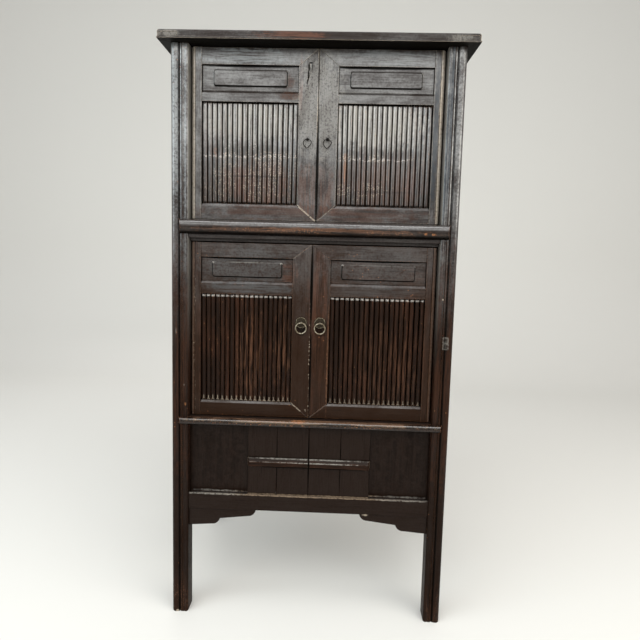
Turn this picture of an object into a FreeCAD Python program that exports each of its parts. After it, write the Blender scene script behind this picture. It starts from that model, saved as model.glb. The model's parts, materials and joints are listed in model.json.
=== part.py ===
import FreeCAD, Part
import Sketcher
import math
import os
from types import SimpleNamespace

# A tall food cabinet with leaning posts, two pairs of slatted swing doors on wooden pivots, and a bottom
# compartment with two sliding doors. X runs to the right, Y to the back, Z up, in millimetres, with the
# origin on the floor under the middle of the top. Left pieces have side -1, right ones side +1.

SIZES = {
    # Whole cabinet
    "total_height": 1790,
    "post_span_floor": 882,
    "post_span_top": 830,
    "carcass_depth": 620,
    # Top frame
    "top_thickness": 25,
    "top_overhang_front": 27,
    "top_overhang_side": 29,
    "top_member_width": 80,
    "top_edge_radius": 8,
    "top_bead_height": 5,
    "top_bead_projection": 2,
    "top_tenon_width": 50,
    "top_tenon_height": 11,
    "top_tenon_inset": 7,
    "top_tenon_rise": 0.5,
    "top_panel_thickness": 18,
    # Posts
    "post_width": 52,
    "post_depth": 52,
    "post_round_radius": 13,
    "post_round_width": 25.5,
    "post_groove_width": 2.4,
    "post_groove_depth": 5.5,
    "post_valley_depth": 2.8,
    "post_band_width": 13,
    "post_band_setback": 1.2,
    "post_inner_radius": 8,
    "back_post_radius": 12,
    # Middle rail with its half-round moulding
    "rail_setback": 4,
    "tenon_length": 24,
    "tenon_back_gap": 4,
    "side_tenon_inset": 6,
    "mid_tenon_thickness": 14,
    "mid_tenon_height": 34,
    "mid_rail_top": 1281,
    "mid_rail_height": 63,
    "mid_moulding_height": 43,
    "mid_moulding_projection": 21.5,
    "mid_moulding_end_inset": 23,
    "mid_fillet_height": 11,
    "moulding_end_bevel": 10,
    # Ledge
    "ledge_top": 675,
    "ledge_thickness": 19.5,
    "ledge_projection": 20,
    "ledge_end_inset": 20,
    "ledge_groove_depth": 2.5,
    "ledge_tenon_thickness": 8,
    "ledge_tenon_height": 12,
    # Bottom rail and its brackets
    "bottom_rail_top": 418,
    "bottom_rail_height": 52,
    "bottom_rail_setback": 8,
    "bottom_tenon_thickness": 12,
    "bottom_tenon_height": 32,
    "bracket_length": 217,
    "bracket_height": 61,
    "bracket_toe_length": 76,
    "bracket_toe_slope": 6,
    "bracket_step_height": 26,
    "bracket_step_slope": 11,
    "bracket_nose_length": 25,
    "bracket_nose_radius": 25,
    "bracket_thickness": 20,
    "bracket_setback": 13,
    # Sides, back and floors
    "side_rail_height": 45,
    "side_rail_thickness": 22,
    "side_rail_setback": 8,
    "back_rail_height": 45,
    "back_rail_thickness": 34,
    "frame_tenon_thickness": 10,
    "frame_tenon_height": 33,
    "wall_thickness": 10,
    "side_wall_setback": 14,
    "back_wall_setback": 30,
    "floor_thickness": 15,
    # Swing doors
    "door_thickness": 24,
    "door_setback": 20,
    "door_side_gap": 3,
    "door_top_gap": 3.5,
    "door_bottom_gap": 2,
    "door_meeting_gap": 1.5,
    "upper_meeting_offset": 4,
    "lower_meeting_offset": -4,
    "pivot_stile_width": 30,
    "meeting_stile_width": 56,
    "door_rail_setback": 1.5,
    "door_rail_chamfer_depth": 5,
    "door_rail_chamfer_height": 6.5,
    "upper_top_rail_height": 46,
    "upper_panel_height": 70,
    "upper_mid_rail_height": 30,
    "upper_bottom_rail_height": 46,
    "lower_top_rail_height": 43,
    "lower_panel_height": 72,
    "lower_mid_rail_height": 39,
    "lower_bottom_rail_height": 47,
    # Wooden pivots
    "pivot_radius": 7,
    "pivot_clearance": 0.08,
    "pivot_top_length": 13,
    "pivot_bottom_length": 10.5,
    "pivot_end_gap": 0.3,
    # Raised panels
    "door_panel_setback": 6,
    "door_panel_thickness": 7,
    "field_height": 4,
    "field_inset_side": 32,
    "field_inset_end": 12,
    "field_corner_radius": 6,
    "field_edge_angle": 35,
    # Slats
    "slat_count": 19,
    "slat_width": 11,
    "slat_thickness": 8,
    "slat_setback": 3,
    "slat_crown": 3.4,
    "slat_flank_radius": 8.5,
    "slat_bevel_depth": 4,
    "slat_bevel_height": 8,
    # Bottom compartment
    "sliding_door_width": 194,
    "sliding_door_thickness": 14,
    "sliding_door_setback": 16,
    "sliding_meeting_gap": 1.2,
    "sliding_inner_board": 100,
    "sliding_board_gap": 0.6,
    "sliding_groove_depth": 5,
    "sliding_top_groove_depth": 7,
    "sliding_top_engagement": 5.5,
    "sliding_clearance": 0.3,
    "fixed_panel_thickness": 12,
    "fixed_panel_gap": 2,
    "fixed_panel_overlap": 8,
    "batten_bottom": 514,
    "batten_height": 30,
    "batten_projection": 12,
    "batten_lower_setback": 4,
    "batten_upper_setback": 6,
    "batten_ridge_height": 19,
    "batten_end_bevel": 8,
    # Pulls
    "upper_pull_height": 1515,
    "lower_pull_height": 979,
    "loop_radius": 12.5,
    "loop_wire_radius": 1.1,
    "ring_radius": 16.2,
    "ring_wire_radius": 1.8,
    "pull_stand_off": 8,
    "eye_clearance": 0.4,
    "eye_wire_radius": 1.3,
    "shank_radius": 1.5,
    "shank_depth": 14,
    "shank_clearance": 0.05,
    "plate_radius": 17,
    "plate_thickness": 1.4,
    "plate_rim_height": 2.4,
    "plate_rim_width": 3.2,
}

doc = FreeCAD.newDocument("food_cabinet")
sheet = doc.addObject("Spreadsheet::Sheet", "Sizes")


class Measure:
    """A size: its value now, and the expression that gives it from the sheet."""

    def __init__(self, value, text):
        self.value = value
        self.text = text

    def __add__(self, other):
        other = as_measure(other)
        return Measure(self.value + other.value, f"({self.text} + {other.text})")

    def __sub__(self, other):
        other = as_measure(other)
        return Measure(self.value - other.value, f"({self.text} - {other.text})")

    def __mul__(self, other):
        other = as_measure(other)
        return Measure(self.value * other.value, f"({self.text} * {other.text})")

    def __truediv__(self, other):
        other = as_measure(other)
        return Measure(self.value / other.value, f"({self.text} / {other.text})")

    def __radd__(self, other):
        return as_measure(other) + self

    def __rsub__(self, other):
        return as_measure(other) - self

    def __rmul__(self, other):
        return as_measure(other) * self

    def __neg__(self):
        return as_measure(-1) * self


def as_measure(number):
    """A plain number as a measure."""
    if isinstance(number, Measure):
        return number
    return Measure(float(number), f"({float(number)})")


def fill_sheet():
    """Write every size to its own cell, and give each back as a measure by name."""
    measures = {}
    for row, (alias, number) in enumerate(SIZES.items(), start=1):
        sheet.set(f"A{row}", alias)
        sheet.set(f"B{row}", str(number))
        sheet.setAlias(f"B{row}", alias)
        measures[alias] = Measure(float(number), f"Sizes.{alias}")
    doc.recompute()
    return SimpleNamespace(**measures)


size = fill_sheet()


def bind(feature, prop, amount):
    """Tie a property to the sheet."""
    feature.setExpression(prop, as_measure(amount).text)


def place(feature, x=0, y=0, z=0):
    """Tie the place of a feature to the sheet."""
    for axis, amount in zip("xyz", (x, y, z)):
        bind(feature, f"Placement.Base.{axis}", amount)


# Outlines and solids


def add_arc(sketch, start, end, radius, turn):
    """Arc between two points; turn is +1 where it turns left on its way, and -1 where it turns right."""
    chord = end - start
    left = FreeCAD.Vector(-chord.y, chord.x, 0).normalize()
    rise = math.sqrt(max(radius ** 2 - chord.Length ** 2 / 4, 0))
    centre = (start + end) / 2 + left * rise * turn
    first, last = (start, end) if turn > 0 else (end, start)
    begin_angle = math.atan2(first.y - centre.y, first.x - centre.x)
    end_angle = math.atan2(last.y - centre.y, last.x - centre.x)
    if end_angle < begin_angle:
        end_angle += 2 * math.pi
    circle = Part.Circle(centre, FreeCAD.Vector(0, 0, 1), radius)
    return sketch.addGeometry(Part.ArcOfCircle(circle, begin_angle, end_angle))


def draw(sketch, path, flip=1):
    """Closed outline through the corners of path, each held by the sheet.

    A corner is (u, v), or (u, v, radius, turn) where an arc leaves it. flip is -1 on a mirrored outline.
    """
    corners = [FreeCAD.Vector(as_measure(c[0]).value, as_measure(c[1]).value, 0) for c in path]
    count = len(path)
    edges = []
    rules = []
    formulas = []
    for index, corner in enumerate(path):
        start = corners[index]
        end = corners[(index + 1) % count]
        if len(corner) == 2:
            edge = sketch.addGeometry(Part.LineSegment(start, end))
            edges.append((edge, 1, 2))
        else:
            turn = corner[3] * flip
            edge = add_arc(sketch, start, end, as_measure(corner[2]).value, turn)
            edges.append((edge, 1, 2) if turn > 0 else (edge, 2, 1))
            rules.append(Sketcher.Constraint("Radius", edge, as_measure(corner[2]).value))
            formulas.append(as_measure(corner[2]))
    for index, corner in enumerate(path):
        edge, begin, _ = edges[index]
        for kind, amount in (("DistanceX", corner[0]), ("DistanceY", corner[1])):
            rules.append(Sketcher.Constraint(kind, -1, 1, edge, begin, as_measure(amount).value))
            formulas.append(as_measure(amount))
    for index in range(count):
        edge, begin, _ = edges[index]
        before, _, finish = edges[index - 1]
        rules.append(Sketcher.Constraint("Coincident", before, finish, edge, begin))
    sketch.addConstraint(rules)
    for index, formula in enumerate(formulas):
        sketch.setExpression(f"Constraints[{index}]", formula.text)


def origin_part(body, role):
    """Plane or axis of a body's own origin."""
    return next(part for part in body.Origin.OriginFeatures if part.Role == role)


def new_sketch(body, name, plane, offset):
    """Sketch on a plane of the body's origin, moved along the plane's normal."""
    sketch = body.newObject("Sketcher::SketchObject", name)
    sketch.AttachmentSupport = [(origin_part(body, plane), "")]
    sketch.MapMode = "FlatFace"
    bind(sketch, "AttachmentOffset.Base.z", offset)
    return sketch


def pad_outline(body, name, plane, offset, path, length, flip=1):
    """Pad of an outline."""
    sketch = new_sketch(body, name + "_outline", plane, offset)
    draw(sketch, path, flip)
    pad = body.newObject("PartDesign::Pad", name + "_pad")
    pad.Profile = sketch
    bind(pad, "Length", length)
    return pad


def board(name, path, front, back, flip=1):
    """Piece with an outline seen from the front, in X and Z, between two depths."""
    body = doc.addObject("PartDesign::Body", name)
    pad = pad_outline(body, name, "XZ_Plane", -front, path, back - front, flip)
    pad.Reversed = True
    return body


def bar(name, section, start, end, flip=1):
    """Piece with a section in Y and Z that runs along X."""
    body = doc.addObject("PartDesign::Body", name)
    pad_outline(body, name, "YZ_Plane", start, section, end - start, flip)
    return body


def slab(name, plan, bottom, top, flip=1):
    """Piece with an outline seen from above, in X and Y, between two heights."""
    body = doc.addObject("PartDesign::Body", name)
    pad_outline(body, name, "XY_Plane", bottom, plan, top - bottom, flip)
    return body


def leaning(name, plan, bottom, top, slope, flip=1):
    """Piece with an outline seen from above that rises along a slope in X."""
    body = doc.addObject("PartDesign::Body", name)
    pad = pad_outline(body, name, "XY_Plane", bottom, plan, top - bottom, flip)
    pad.UseCustomVector = True
    pad.Direction = FreeCAD.Vector(slope.value, 0, 1)
    bind(pad, "Direction.x", slope)
    pad.AlongSketchNormal = True
    return body


def box(name, low, high):
    """Plain block between two corners."""
    block = doc.addObject("Part::Box", name)
    for prop, near, far in zip(("Length", "Width", "Height"), low, high):
        bind(block, prop, far - near)
    place(block, *low)
    return block


def rod(name, base, height, radius, axis, angle):
    """Round rod from a base point, turned about an axis by an angle in degrees."""
    cylinder = doc.addObject("Part::Cylinder", name)
    bind(cylinder, "Radius", radius)
    bind(cylinder, "Height", height)
    turned = FreeCAD.Rotation(axis, as_measure(angle).value)
    cylinder.Placement = FreeCAD.Placement(FreeCAD.Vector(), turned)
    bind(cylinder, "Placement.Rotation.Angle", angle)
    place(cylinder, *base)
    return cylinder


def hoop(name, centre, radius, wire, axis):
    """Round ring of wire, a quarter turn about an axis from lying flat."""
    torus = doc.addObject("Part::Torus", name)
    bind(torus, "Radius1", radius)
    bind(torus, "Radius2", wire)
    torus.Placement = FreeCAD.Placement(FreeCAD.Vector(), FreeCAD.Rotation(axis, 90))
    place(torus, *centre)
    return torus


def common(name, base, tool):
    """What two solids share."""
    shared = doc.addObject("Part::Common", name)
    shared.Base = base
    shared.Tool = tool
    return shared


def cut(name, base, tools):
    """A solid less some others."""
    tool = tools[0]
    if len(tools) > 1:
        tool = group(name + "_tools", tools)
    rest = doc.addObject("Part::Cut", name)
    rest.Base = base
    rest.Tool = tool
    return rest


def fuse(name, solids):
    """Several solids as one."""
    whole = doc.addObject("Part::MultiFuse", name)
    whole.Shapes = solids
    return whole


def group(name, solids):
    """Several separate solids under one name."""
    together = doc.addObject("Part::Compound", name)
    together.Links = solids
    return together


SIDES = {"left": -1, "right": 1}
X_AXIS = FreeCAD.Vector(1, 0, 0)
Y_AXIS = FreeCAD.Vector(0, 1, 0)
nodes = []


def keep(node):
    """Note a finished sub-part."""
    node.Label = node.Name
    nodes.append(node)


# Places that the pieces share

post_top = size.total_height - size.top_thickness
lean = (size.post_span_floor - size.post_span_top) / 2 / post_top
lean_angle = Measure(math.degrees(math.atan(lean.value)), f"atan({lean.text})")
front = -size.carcass_depth / 2
back = size.carcass_depth / 2
rail_front = front + size.rail_setback
rail_back = front + size.post_depth
back_post_front = back - size.post_depth
mid_bottom = size.mid_rail_top - size.mid_rail_height
ledge_bottom = size.ledge_top - size.ledge_thickness
bottom_rail_bottom = size.bottom_rail_top - size.bottom_rail_height
door_front = front + size.door_setback
door_back = door_front + size.door_thickness
pivot_y = door_front + size.door_thickness / 2
door_rail_front = door_front + size.door_rail_setback
slide_front = front + size.sliding_door_setback
slide_back = slide_front + size.sliding_door_thickness
lower_socket_depth = size.pivot_bottom_length + size.pivot_end_gap
upper_socket_depth = size.pivot_top_length + size.pivot_end_gap


def half_span(z):
    """Distance from the middle to the outer face of a post at a height."""
    return size.post_span_floor / 2 - lean * z


def half_opening(z):
    """Distance from the middle to the inner face of a post at a height."""
    return half_span(z) - size.post_width


def pivot_x(z):
    """Distance from the middle to a pivot's axis at a height."""
    return half_opening(z) - size.door_side_gap - size.door_thickness / 2


def spanning(half_width, bottom, top):
    """Front outline that reaches from side to side between two heights and follows the lean."""
    return [
        (-half_width(bottom), bottom),
        (half_width(bottom), bottom),
        (half_width(top), top),
        (-half_width(top), top),
    ]


# Top frame

top_x = size.post_span_top / 2 + size.top_overhang_side
top_y = size.carcass_depth / 2 + size.top_overhang_front


def top_section(outer, sign):
    """Section of a top member from its outer face inwards: bead below, rounded edge above."""
    face = outer + sign * size.top_bead_projection
    inner = outer + sign * size.top_member_width
    bead_top = post_top + size.top_bead_height
    return [
        (inner, post_top),
        (inner, size.total_height),
        (face + sign * size.top_edge_radius, size.total_height, size.top_edge_radius, 1),
        (face, size.total_height - size.top_edge_radius),
        (face, bead_top),
        (outer, bead_top - size.top_bead_projection),
        (outer, post_top),
    ]


def make_top():
    """Mitred frame with through tenons at its corners, and the panel inside it."""
    reach = size.top_member_width
    tenon_bottom = post_top + size.top_bead_height + size.top_tenon_rise
    tenons = {}
    for side_name, side in SIDES.items():
        outer = side * (top_x - size.top_tenon_inset)
        inner = outer - side * size.top_tenon_width
        low_x, high_x = (outer, inner) if side < 0 else (inner, outer)
        face = top_y - size.top_bead_projection
        for end, near, far in (("front", -face, reach - top_y), ("back", top_y - reach, face)):
            low = (low_x, near, tenon_bottom)
            high = (high_x, far, tenon_bottom + size.top_tenon_height)
            tenons[side_name, end] = box(f"top_{end}_{side_name}_tenon", low, high)
    for end, sign in (("front", 1), ("back", -1)):
        length = bar(f"top_{end}_bar", top_section(-sign * top_y, sign), -top_x, top_x, sign)
        mitre = slab(
            f"top_{end}_mitre",
            [
                (-top_x, -sign * top_y),
                (top_x, -sign * top_y),
                (top_x - reach, -sign * (top_y - reach)),
                (reach - top_x, -sign * (top_y - reach)),
            ],
            post_top,
            size.total_height,
        )
        member = common(f"top_{end}_mitred", length, mitre)
        holes = [tenons["left", end], tenons["right", end]]
        if end == "front":
            roof = post_top - size.door_top_gap
            holes += pivot_sockets("top_socket", roof, roof + upper_socket_depth)
        keep(cut(f"top_{end}_member", member, holes))
    for side_name, side in SIDES.items():
        length = board(
            f"top_{side_name}_bar", top_section(side * top_x, -side), -top_y, top_y, -side
        )
        mitre = slab(
            f"top_{side_name}_mitre",
            [
                (side * top_x, -top_y),
                (side * top_x, top_y),
                (side * (top_x - reach), top_y - reach),
                (side * (top_x - reach), reach - top_y),
            ],
            post_top,
            size.total_height,
        )
        member = common(f"top_{side_name}_mitred", length, mitre)
        tongues = [tenons[side_name, "front"], tenons[side_name, "back"]]
        keep(fuse(f"top_{side_name}_member", [member] + tongues))
    low = (reach - top_x, reach - top_y, size.total_height - size.top_panel_thickness)
    high = (top_x - reach, top_y - reach, size.total_height)
    keep(box("top_panel", low, high))


# Tenons of the rails


def front_tenons():
    """Tenons of the three front rails; each runs right through its rail and into both posts."""
    mid_middle = size.mid_rail_top - size.mid_rail_height / 2
    ledge_middle = size.ledge_top - size.ledge_thickness / 2
    bottom_middle = size.bottom_rail_top - size.bottom_rail_height / 2
    spans = {
        "mid": (mid_middle, size.mid_tenon_thickness, size.mid_tenon_height),
        "ledge": (ledge_middle, size.ledge_tenon_thickness, size.ledge_tenon_height),
        "bottom": (bottom_middle, size.bottom_tenon_thickness, size.bottom_tenon_height),
    }
    solids = {}
    for level, (middle, thickness, height) in spans.items():
        reach = half_opening(middle) + size.tenon_length
        rear = rail_back - size.tenon_back_gap
        low = (-reach, rear - thickness, middle - height / 2)
        high = (reach, rear, middle + height / 2)
        solids[level] = box(f"{level}_tenon", low, high)
    return solids


def back_tenons():
    """Tenons of the back rails, from post to post."""
    solids = {}
    for level, top in rail_levels():
        middle = top - size.back_rail_height / 2
        reach = half_opening(middle) + size.tenon_length
        near = back_post_front + (size.back_rail_thickness - size.frame_tenon_thickness) / 2
        low = (-reach, near, middle - size.frame_tenon_height / 2)
        high = (reach, near + size.frame_tenon_thickness, middle + size.frame_tenon_height / 2)
        solids[level] = box(f"back_{level}_tenon", low, high)
    return solids


def side_tenons(side_name, side):
    """Tenons of the rails of one side, from the front post to the back one; they lean with the posts."""
    solids = {}
    for level, top in rail_levels():
        middle = top - size.side_rail_height / 2
        low = middle - size.frame_tenon_height / 2
        outer = half_span(low) - size.side_rail_setback - size.side_tenon_inset
        inner = outer - size.frame_tenon_thickness
        plan = [
            (side * outer, rail_back - size.tenon_length),
            (side * inner, rail_back - size.tenon_length),
            (side * inner, back_post_front + size.tenon_length),
            (side * outer, back_post_front + size.tenon_length),
        ]
        high = low + size.frame_tenon_height
        solids[level] = leaning(f"{side_name}_{level}_tenon", plan, low, high, -side * lean)
    return solids


# Posts


def make_posts(tenons):
    """Front posts with a large round, a band and a round inner edge, and plainer back posts.

    Gives back the front ones before their mortises are cut, for the mouldings to be scribed to.
    """
    big = size.post_round_radius
    valley = size.post_valley_depth
    shoulder = size.post_round_width - big
    shoulder_radius = (shoulder * shoulder + valley * valley) / (2 * valley)
    groove_middle = size.post_round_width + size.post_groove_width / 2
    band_start = size.post_round_width + size.post_groove_width
    half_band = size.post_band_width / 2
    rise = valley - size.post_band_setback
    band_radius = (half_band * half_band + rise * rise) / (2 * rise)
    inner = size.post_inner_radius
    front_profile = [
        (0, size.post_depth),
        (0, big, big, 1),
        (big, 0, shoulder_radius, 1),
        (size.post_round_width, valley),
        (groove_middle, size.post_groove_depth),
        (band_start, valley, band_radius, 1),
        (band_start + half_band, size.post_band_setback, band_radius, 1),
        (band_start + 2 * half_band, valley),
        (size.post_width - inner, size.post_band_setback, inner, 1),
        (size.post_width, size.post_band_setback + inner),
        (size.post_width, size.post_depth),
    ]
    corner = size.back_post_radius
    back_profile = [
        (0, size.post_depth),
        (0, corner, corner, 1),
        (corner, 0),
        (size.post_width, 0),
        (size.post_width, size.post_depth),
    ]
    sticks = {"front": [], "back": []}
    for end, profile, face, sign in (("front", front_profile, front, 1), ("back", back_profile, back, -1)):
        for side_name, side in SIDES.items():
            plan = [
                (side * (half_span(0) - inwards), face + sign * depth, *arc)
                for inwards, depth, *arc in profile
            ]
            name = f"{end}_{side_name}_post"
            stick = leaning(name + "_stick", plan, as_measure(0), post_top, -side * lean, -side * sign)
            mortises = list(tenons[end].values()) + list(tenons[side_name].values())
            keep(cut(name, stick, mortises))
            sticks[end].append(stick)
    return sticks["front"]


# Rails across the front


def pivot_socket(name, side, bottom, top):
    """Round hole along a door's leaning pivot axis."""
    base = (side * pivot_x(bottom), pivot_y, bottom)
    radius = size.pivot_radius + size.pivot_clearance
    return rod(name, base, top - bottom, radius, Y_AXIS, -side * lean_angle)


def pivot_sockets(name, bottom, top):
    """The holes for a left and a right door."""
    return [pivot_socket(f"{name}_{side_name}", side, bottom, top) for side_name, side in SIDES.items()]


def scribed(name, section, half_length, seat, nose, posts):
    """Moulding along X, scribed to the posts, whose ends are cut back from its seat to its nose."""
    bevel = size.moulding_end_bevel
    length = bar(name + "_bar", section, -half_length, half_length)
    plan = slab(
        name + "_plan",
        [
            (-half_length, seat),
            (half_length, seat),
            (half_length - bevel, nose),
            (bevel - half_length, nose),
        ],
        as_measure(0),
        size.total_height,
    )
    return cut(name, common(name + "_bevelled", length, plan), posts)


def make_mid_rail(tenon, posts):
    """Rail between the posts with a fillet, and the half-round moulding in front of it."""
    fillet_bottom = size.mid_rail_top - size.mid_moulding_height - size.mid_fillet_height
    section = [
        (rail_front, size.mid_rail_top),
        (rail_front, fillet_bottom),
        (door_front, fillet_bottom),
        (door_front, mid_bottom),
        (rail_back, mid_bottom),
        (rail_back, size.mid_rail_top),
    ]
    length = bar("mid_rail_bar", section, -half_span(0), half_span(0))
    face = board(
        "mid_rail_face", spanning(half_opening, mid_bottom, size.mid_rail_top), rail_front, rail_back
    )
    fitted = common("mid_rail_fitted", length, face)
    seat = size.mid_rail_top + size.door_bottom_gap
    roof = mid_bottom - size.door_top_gap
    holes = pivot_sockets("mid_top_socket", seat - lower_socket_depth, seat)
    holes += pivot_sockets("mid_under_socket", roof, roof + upper_socket_depth)
    keep(cut("mid_rail", fuse("mid_rail_tenoned", [fitted, tenon]), holes))
    half = size.mid_moulding_height / 2
    reach = size.mid_moulding_projection
    middle = size.mid_rail_top - half
    bow = (half * half + reach * reach) / (2 * reach)
    moulding = [
        (rail_front, size.mid_rail_top, bow, 1),
        (rail_front - reach, middle, bow, 1),
        (rail_front, middle - half),
    ]
    half_length = half_span(middle) - size.mid_moulding_end_inset
    keep(scribed("mid_moulding", moulding, half_length, rail_front, rail_front - reach, posts))


def make_ledge(tenon, posts):
    """Ledge rail with the pivot sockets and the upper groove of the sliding doors, and its moulded strip."""
    fitted = board(
        "ledge_rail_face", spanning(half_opening, ledge_bottom, size.ledge_top), rail_front, rail_back
    )
    groove = box(
        "ledge_groove",
        (-half_span(0), slide_front - size.sliding_clearance, ledge_bottom - size.sliding_clearance),
        (half_span(0), slide_back + size.sliding_clearance, ledge_bottom + size.sliding_top_groove_depth),
    )
    seat = size.ledge_top + size.door_bottom_gap
    holes = pivot_sockets("ledge_socket", seat - lower_socket_depth, seat)
    keep(cut("ledge_rail", fuse("ledge_rail_tenoned", [fitted, tenon]), [groove] + holes))
    nose = rail_front - size.ledge_projection
    bead = size.ledge_thickness / 4
    hollow = size.ledge_groove_depth
    section = [
        (rail_front, size.ledge_top),
        (nose + bead, size.ledge_top, bead, 1),
        (nose, size.ledge_top - bead, bead, 1),
        (nose + bead, size.ledge_top - 2 * bead),
        (nose + hollow, size.ledge_top - 2 * bead),
        (nose + hollow, ledge_bottom + bead, bead, 1),
        (nose + hollow + bead, ledge_bottom),
        (rail_front, ledge_bottom),
    ]
    half_length = half_span(size.ledge_top) - size.ledge_end_inset
    keep(scribed("ledge_moulding", section, half_length, rail_front, nose, posts))


def make_bottom_rail(tenon):
    """Grooved rail under the sliding doors."""
    rail = board(
        "bottom_rail_face",
        spanning(half_opening, bottom_rail_bottom, size.bottom_rail_top),
        front + size.bottom_rail_setback,
        rail_back,
    )
    groove = box(
        "bottom_groove",
        (
            -half_span(0),
            slide_front - size.sliding_clearance,
            size.bottom_rail_top - size.sliding_groove_depth - size.sliding_clearance,
        ),
        (half_span(0), slide_back + size.sliding_clearance, size.bottom_rail_top + size.sliding_clearance),
    )
    keep(cut("bottom_rail", fuse("bottom_rail_tenoned", [rail, tenon]), [groove]))


def make_brackets():
    """Stepped brackets in the corners under the bottom rail, with round noses and sloping steps."""
    top = bottom_rail_bottom
    toe = top - size.bracket_height
    step = toe + size.bracket_step_height
    nose = size.bracket_nose_radius
    run = size.bracket_nose_length
    back_face = front + size.bracket_setback + size.bracket_thickness
    for side_name, side in SIDES.items():
        tip = half_opening(top) - size.bracket_length
        heel = half_opening(toe) - size.bracket_toe_length
        path = [
            (side * half_opening(top), top),
            (side * half_opening(toe), toe),
            (side * heel, toe + size.bracket_toe_slope, nose, -1),
            (side * (heel - run), step),
            (side * (tip + run), step + size.bracket_step_slope, nose, -1),
            (side * tip, top),
        ]
        keep(board(f"{side_name}_bracket", path, front + size.bracket_setback, back_face, side))


# Sides, back and floors


def rail_levels():
    """Heights of the rails round the sides and the back, from the floor up."""
    return [
        ("bottom", size.bottom_rail_top),
        ("ledge", size.ledge_top),
        ("mid", size.mid_rail_top),
        ("top", post_top),
    ]


def make_sides(tenons):
    """Tenoned rails and plain panels between the front and back posts of each side."""
    for side_name, side in SIDES.items():
        rails = []
        walls = []
        below = None
        for level, top in rail_levels():
            bottom = top - size.side_rail_height
            spans = [(rails, f"{side_name}_{level}_rail", bottom, top,
                      size.side_rail_setback, size.side_rail_thickness)]
            if below is not None:
                spans.append((walls, f"{side_name}_{level}_wall", below, bottom,
                              size.side_wall_setback, size.wall_thickness))
            for pieces, name, low, high, setback, thickness in spans:
                outer = half_span(low) - setback
                plan = [
                    (side * outer, rail_back),
                    (side * (outer - thickness), rail_back),
                    (side * (outer - thickness), back_post_front),
                    (side * outer, back_post_front),
                ]
                piece = leaning(name, plan, low, high, -side * lean)
                if pieces is rails:
                    piece = fuse(name + "_tenoned", [piece, tenons[side_name][level]])
                pieces.append(piece)
            below = top
        keep(group(f"{side_name}_side_rails", rails))
        keep(group(f"{side_name}_side_panels", walls))


def make_back(tenons):
    """Tenoned rails and plain panels between the back posts."""
    rails = []
    walls = []
    below = None
    for level, top in rail_levels():
        bottom = top - size.back_rail_height
        rail_face = back_post_front + size.back_rail_thickness
        path = spanning(half_opening, bottom, top)
        rail = board(f"back_{level}_rail", path, back_post_front, rail_face)
        rails.append(fuse(f"back_{level}_rail_tenoned", [rail, tenons[level]]))
        if below is not None:
            wall_back = back - size.back_wall_setback
            path = spanning(half_opening, below, bottom)
            walls.append(board(f"back_{level}_wall", path, wall_back - size.wall_thickness, wall_back))
        below = top
    keep(group("back_rails", rails))
    keep(group("back_panels", walls))


def make_floors():
    """Floors of the three compartments, between the rails."""

    def half_floor(z):
        return half_span(z) - size.side_rail_setback - size.side_rail_thickness

    tops = {"upper": size.mid_rail_top, "middle": size.ledge_top, "bottom": size.bottom_rail_top}
    for level, top in tops.items():
        path = spanning(half_floor, top - size.floor_thickness, top)
        keep(board(f"{level}_floor", path, rail_back, back_post_front))


# Swing doors


def door_tiers():
    """The heights and the parts of the upper and the lower pair of doors."""
    upper = SimpleNamespace(
        name="upper",
        bottom=size.mid_rail_top + size.door_bottom_gap,
        top=post_top - size.door_top_gap,
        meeting=size.upper_meeting_offset,
        top_rail=size.upper_top_rail_height,
        panel=size.upper_panel_height,
        mid_rail=size.upper_mid_rail_height,
        bottom_rail=size.upper_bottom_rail_height,
    )
    lower = SimpleNamespace(
        name="lower",
        bottom=size.ledge_top + size.door_bottom_gap,
        top=mid_bottom - size.door_top_gap,
        meeting=size.lower_meeting_offset,
        top_rail=size.lower_top_rail_height,
        panel=size.lower_panel_height,
        mid_rail=size.lower_mid_rail_height,
        bottom_rail=size.lower_bottom_rail_height,
    )
    return [upper, lower]


def make_pivot_stile(name, side, tier):
    """Stile with a round outer edge, and the pins that it turns on."""
    radius = size.door_thickness / 2
    profile = [
        (radius, size.door_thickness, radius, 1),
        (0, radius, radius, 1),
        (radius, 0),
        (size.pivot_stile_width, 0),
        (size.pivot_stile_width, size.door_thickness),
    ]
    edge = half_opening(tier.bottom) - size.door_side_gap
    plan = [(side * (edge - inwards), door_front + depth, *arc) for inwards, depth, *arc in profile]
    stile = leaning(name + "_stick", plan, tier.bottom, tier.top, -side * lean, -side)
    pins = []
    root = size.pivot_radius
    lower_end = tier.bottom - size.pivot_bottom_length
    for end, low, high in (
        ("bottom", lower_end, tier.bottom + root),
        ("top", tier.top - root, tier.top + size.pivot_top_length),
    ):
        base = (side * pivot_x(low), pivot_y, low)
        pins.append(rod(f"{name}_{end}_pin", base, high - low, size.pivot_radius, Y_AXIS, -side * lean_angle))
    keep(fuse(name, [stile] + pins))


def make_meeting_stile(name, side, tier, pull):
    """Mitred stile at the meeting edge, with the hole for its pull."""
    edge = tier.meeting + side * size.door_meeting_gap / 2
    inner = edge + side * size.meeting_stile_width
    path = [
        (edge, tier.bottom),
        (edge, tier.top),
        (inner, tier.top - tier.top_rail),
        (inner, tier.bottom + tier.bottom_rail),
    ]
    stile = board(name + "_stick", path, door_rail_front, door_back)
    centre_x, centre_z = pull
    reach = size.shank_depth + size.pull_stand_off
    hole_radius = size.shank_radius + size.shank_clearance
    hole_base = (centre_x, door_rail_front + size.shank_depth + size.shank_clearance, centre_z)
    hole = rod(name + "_hole", hole_base, reach, hole_radius, X_AXIS, 90)
    keep(cut(name, stile, [hole]))


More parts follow.
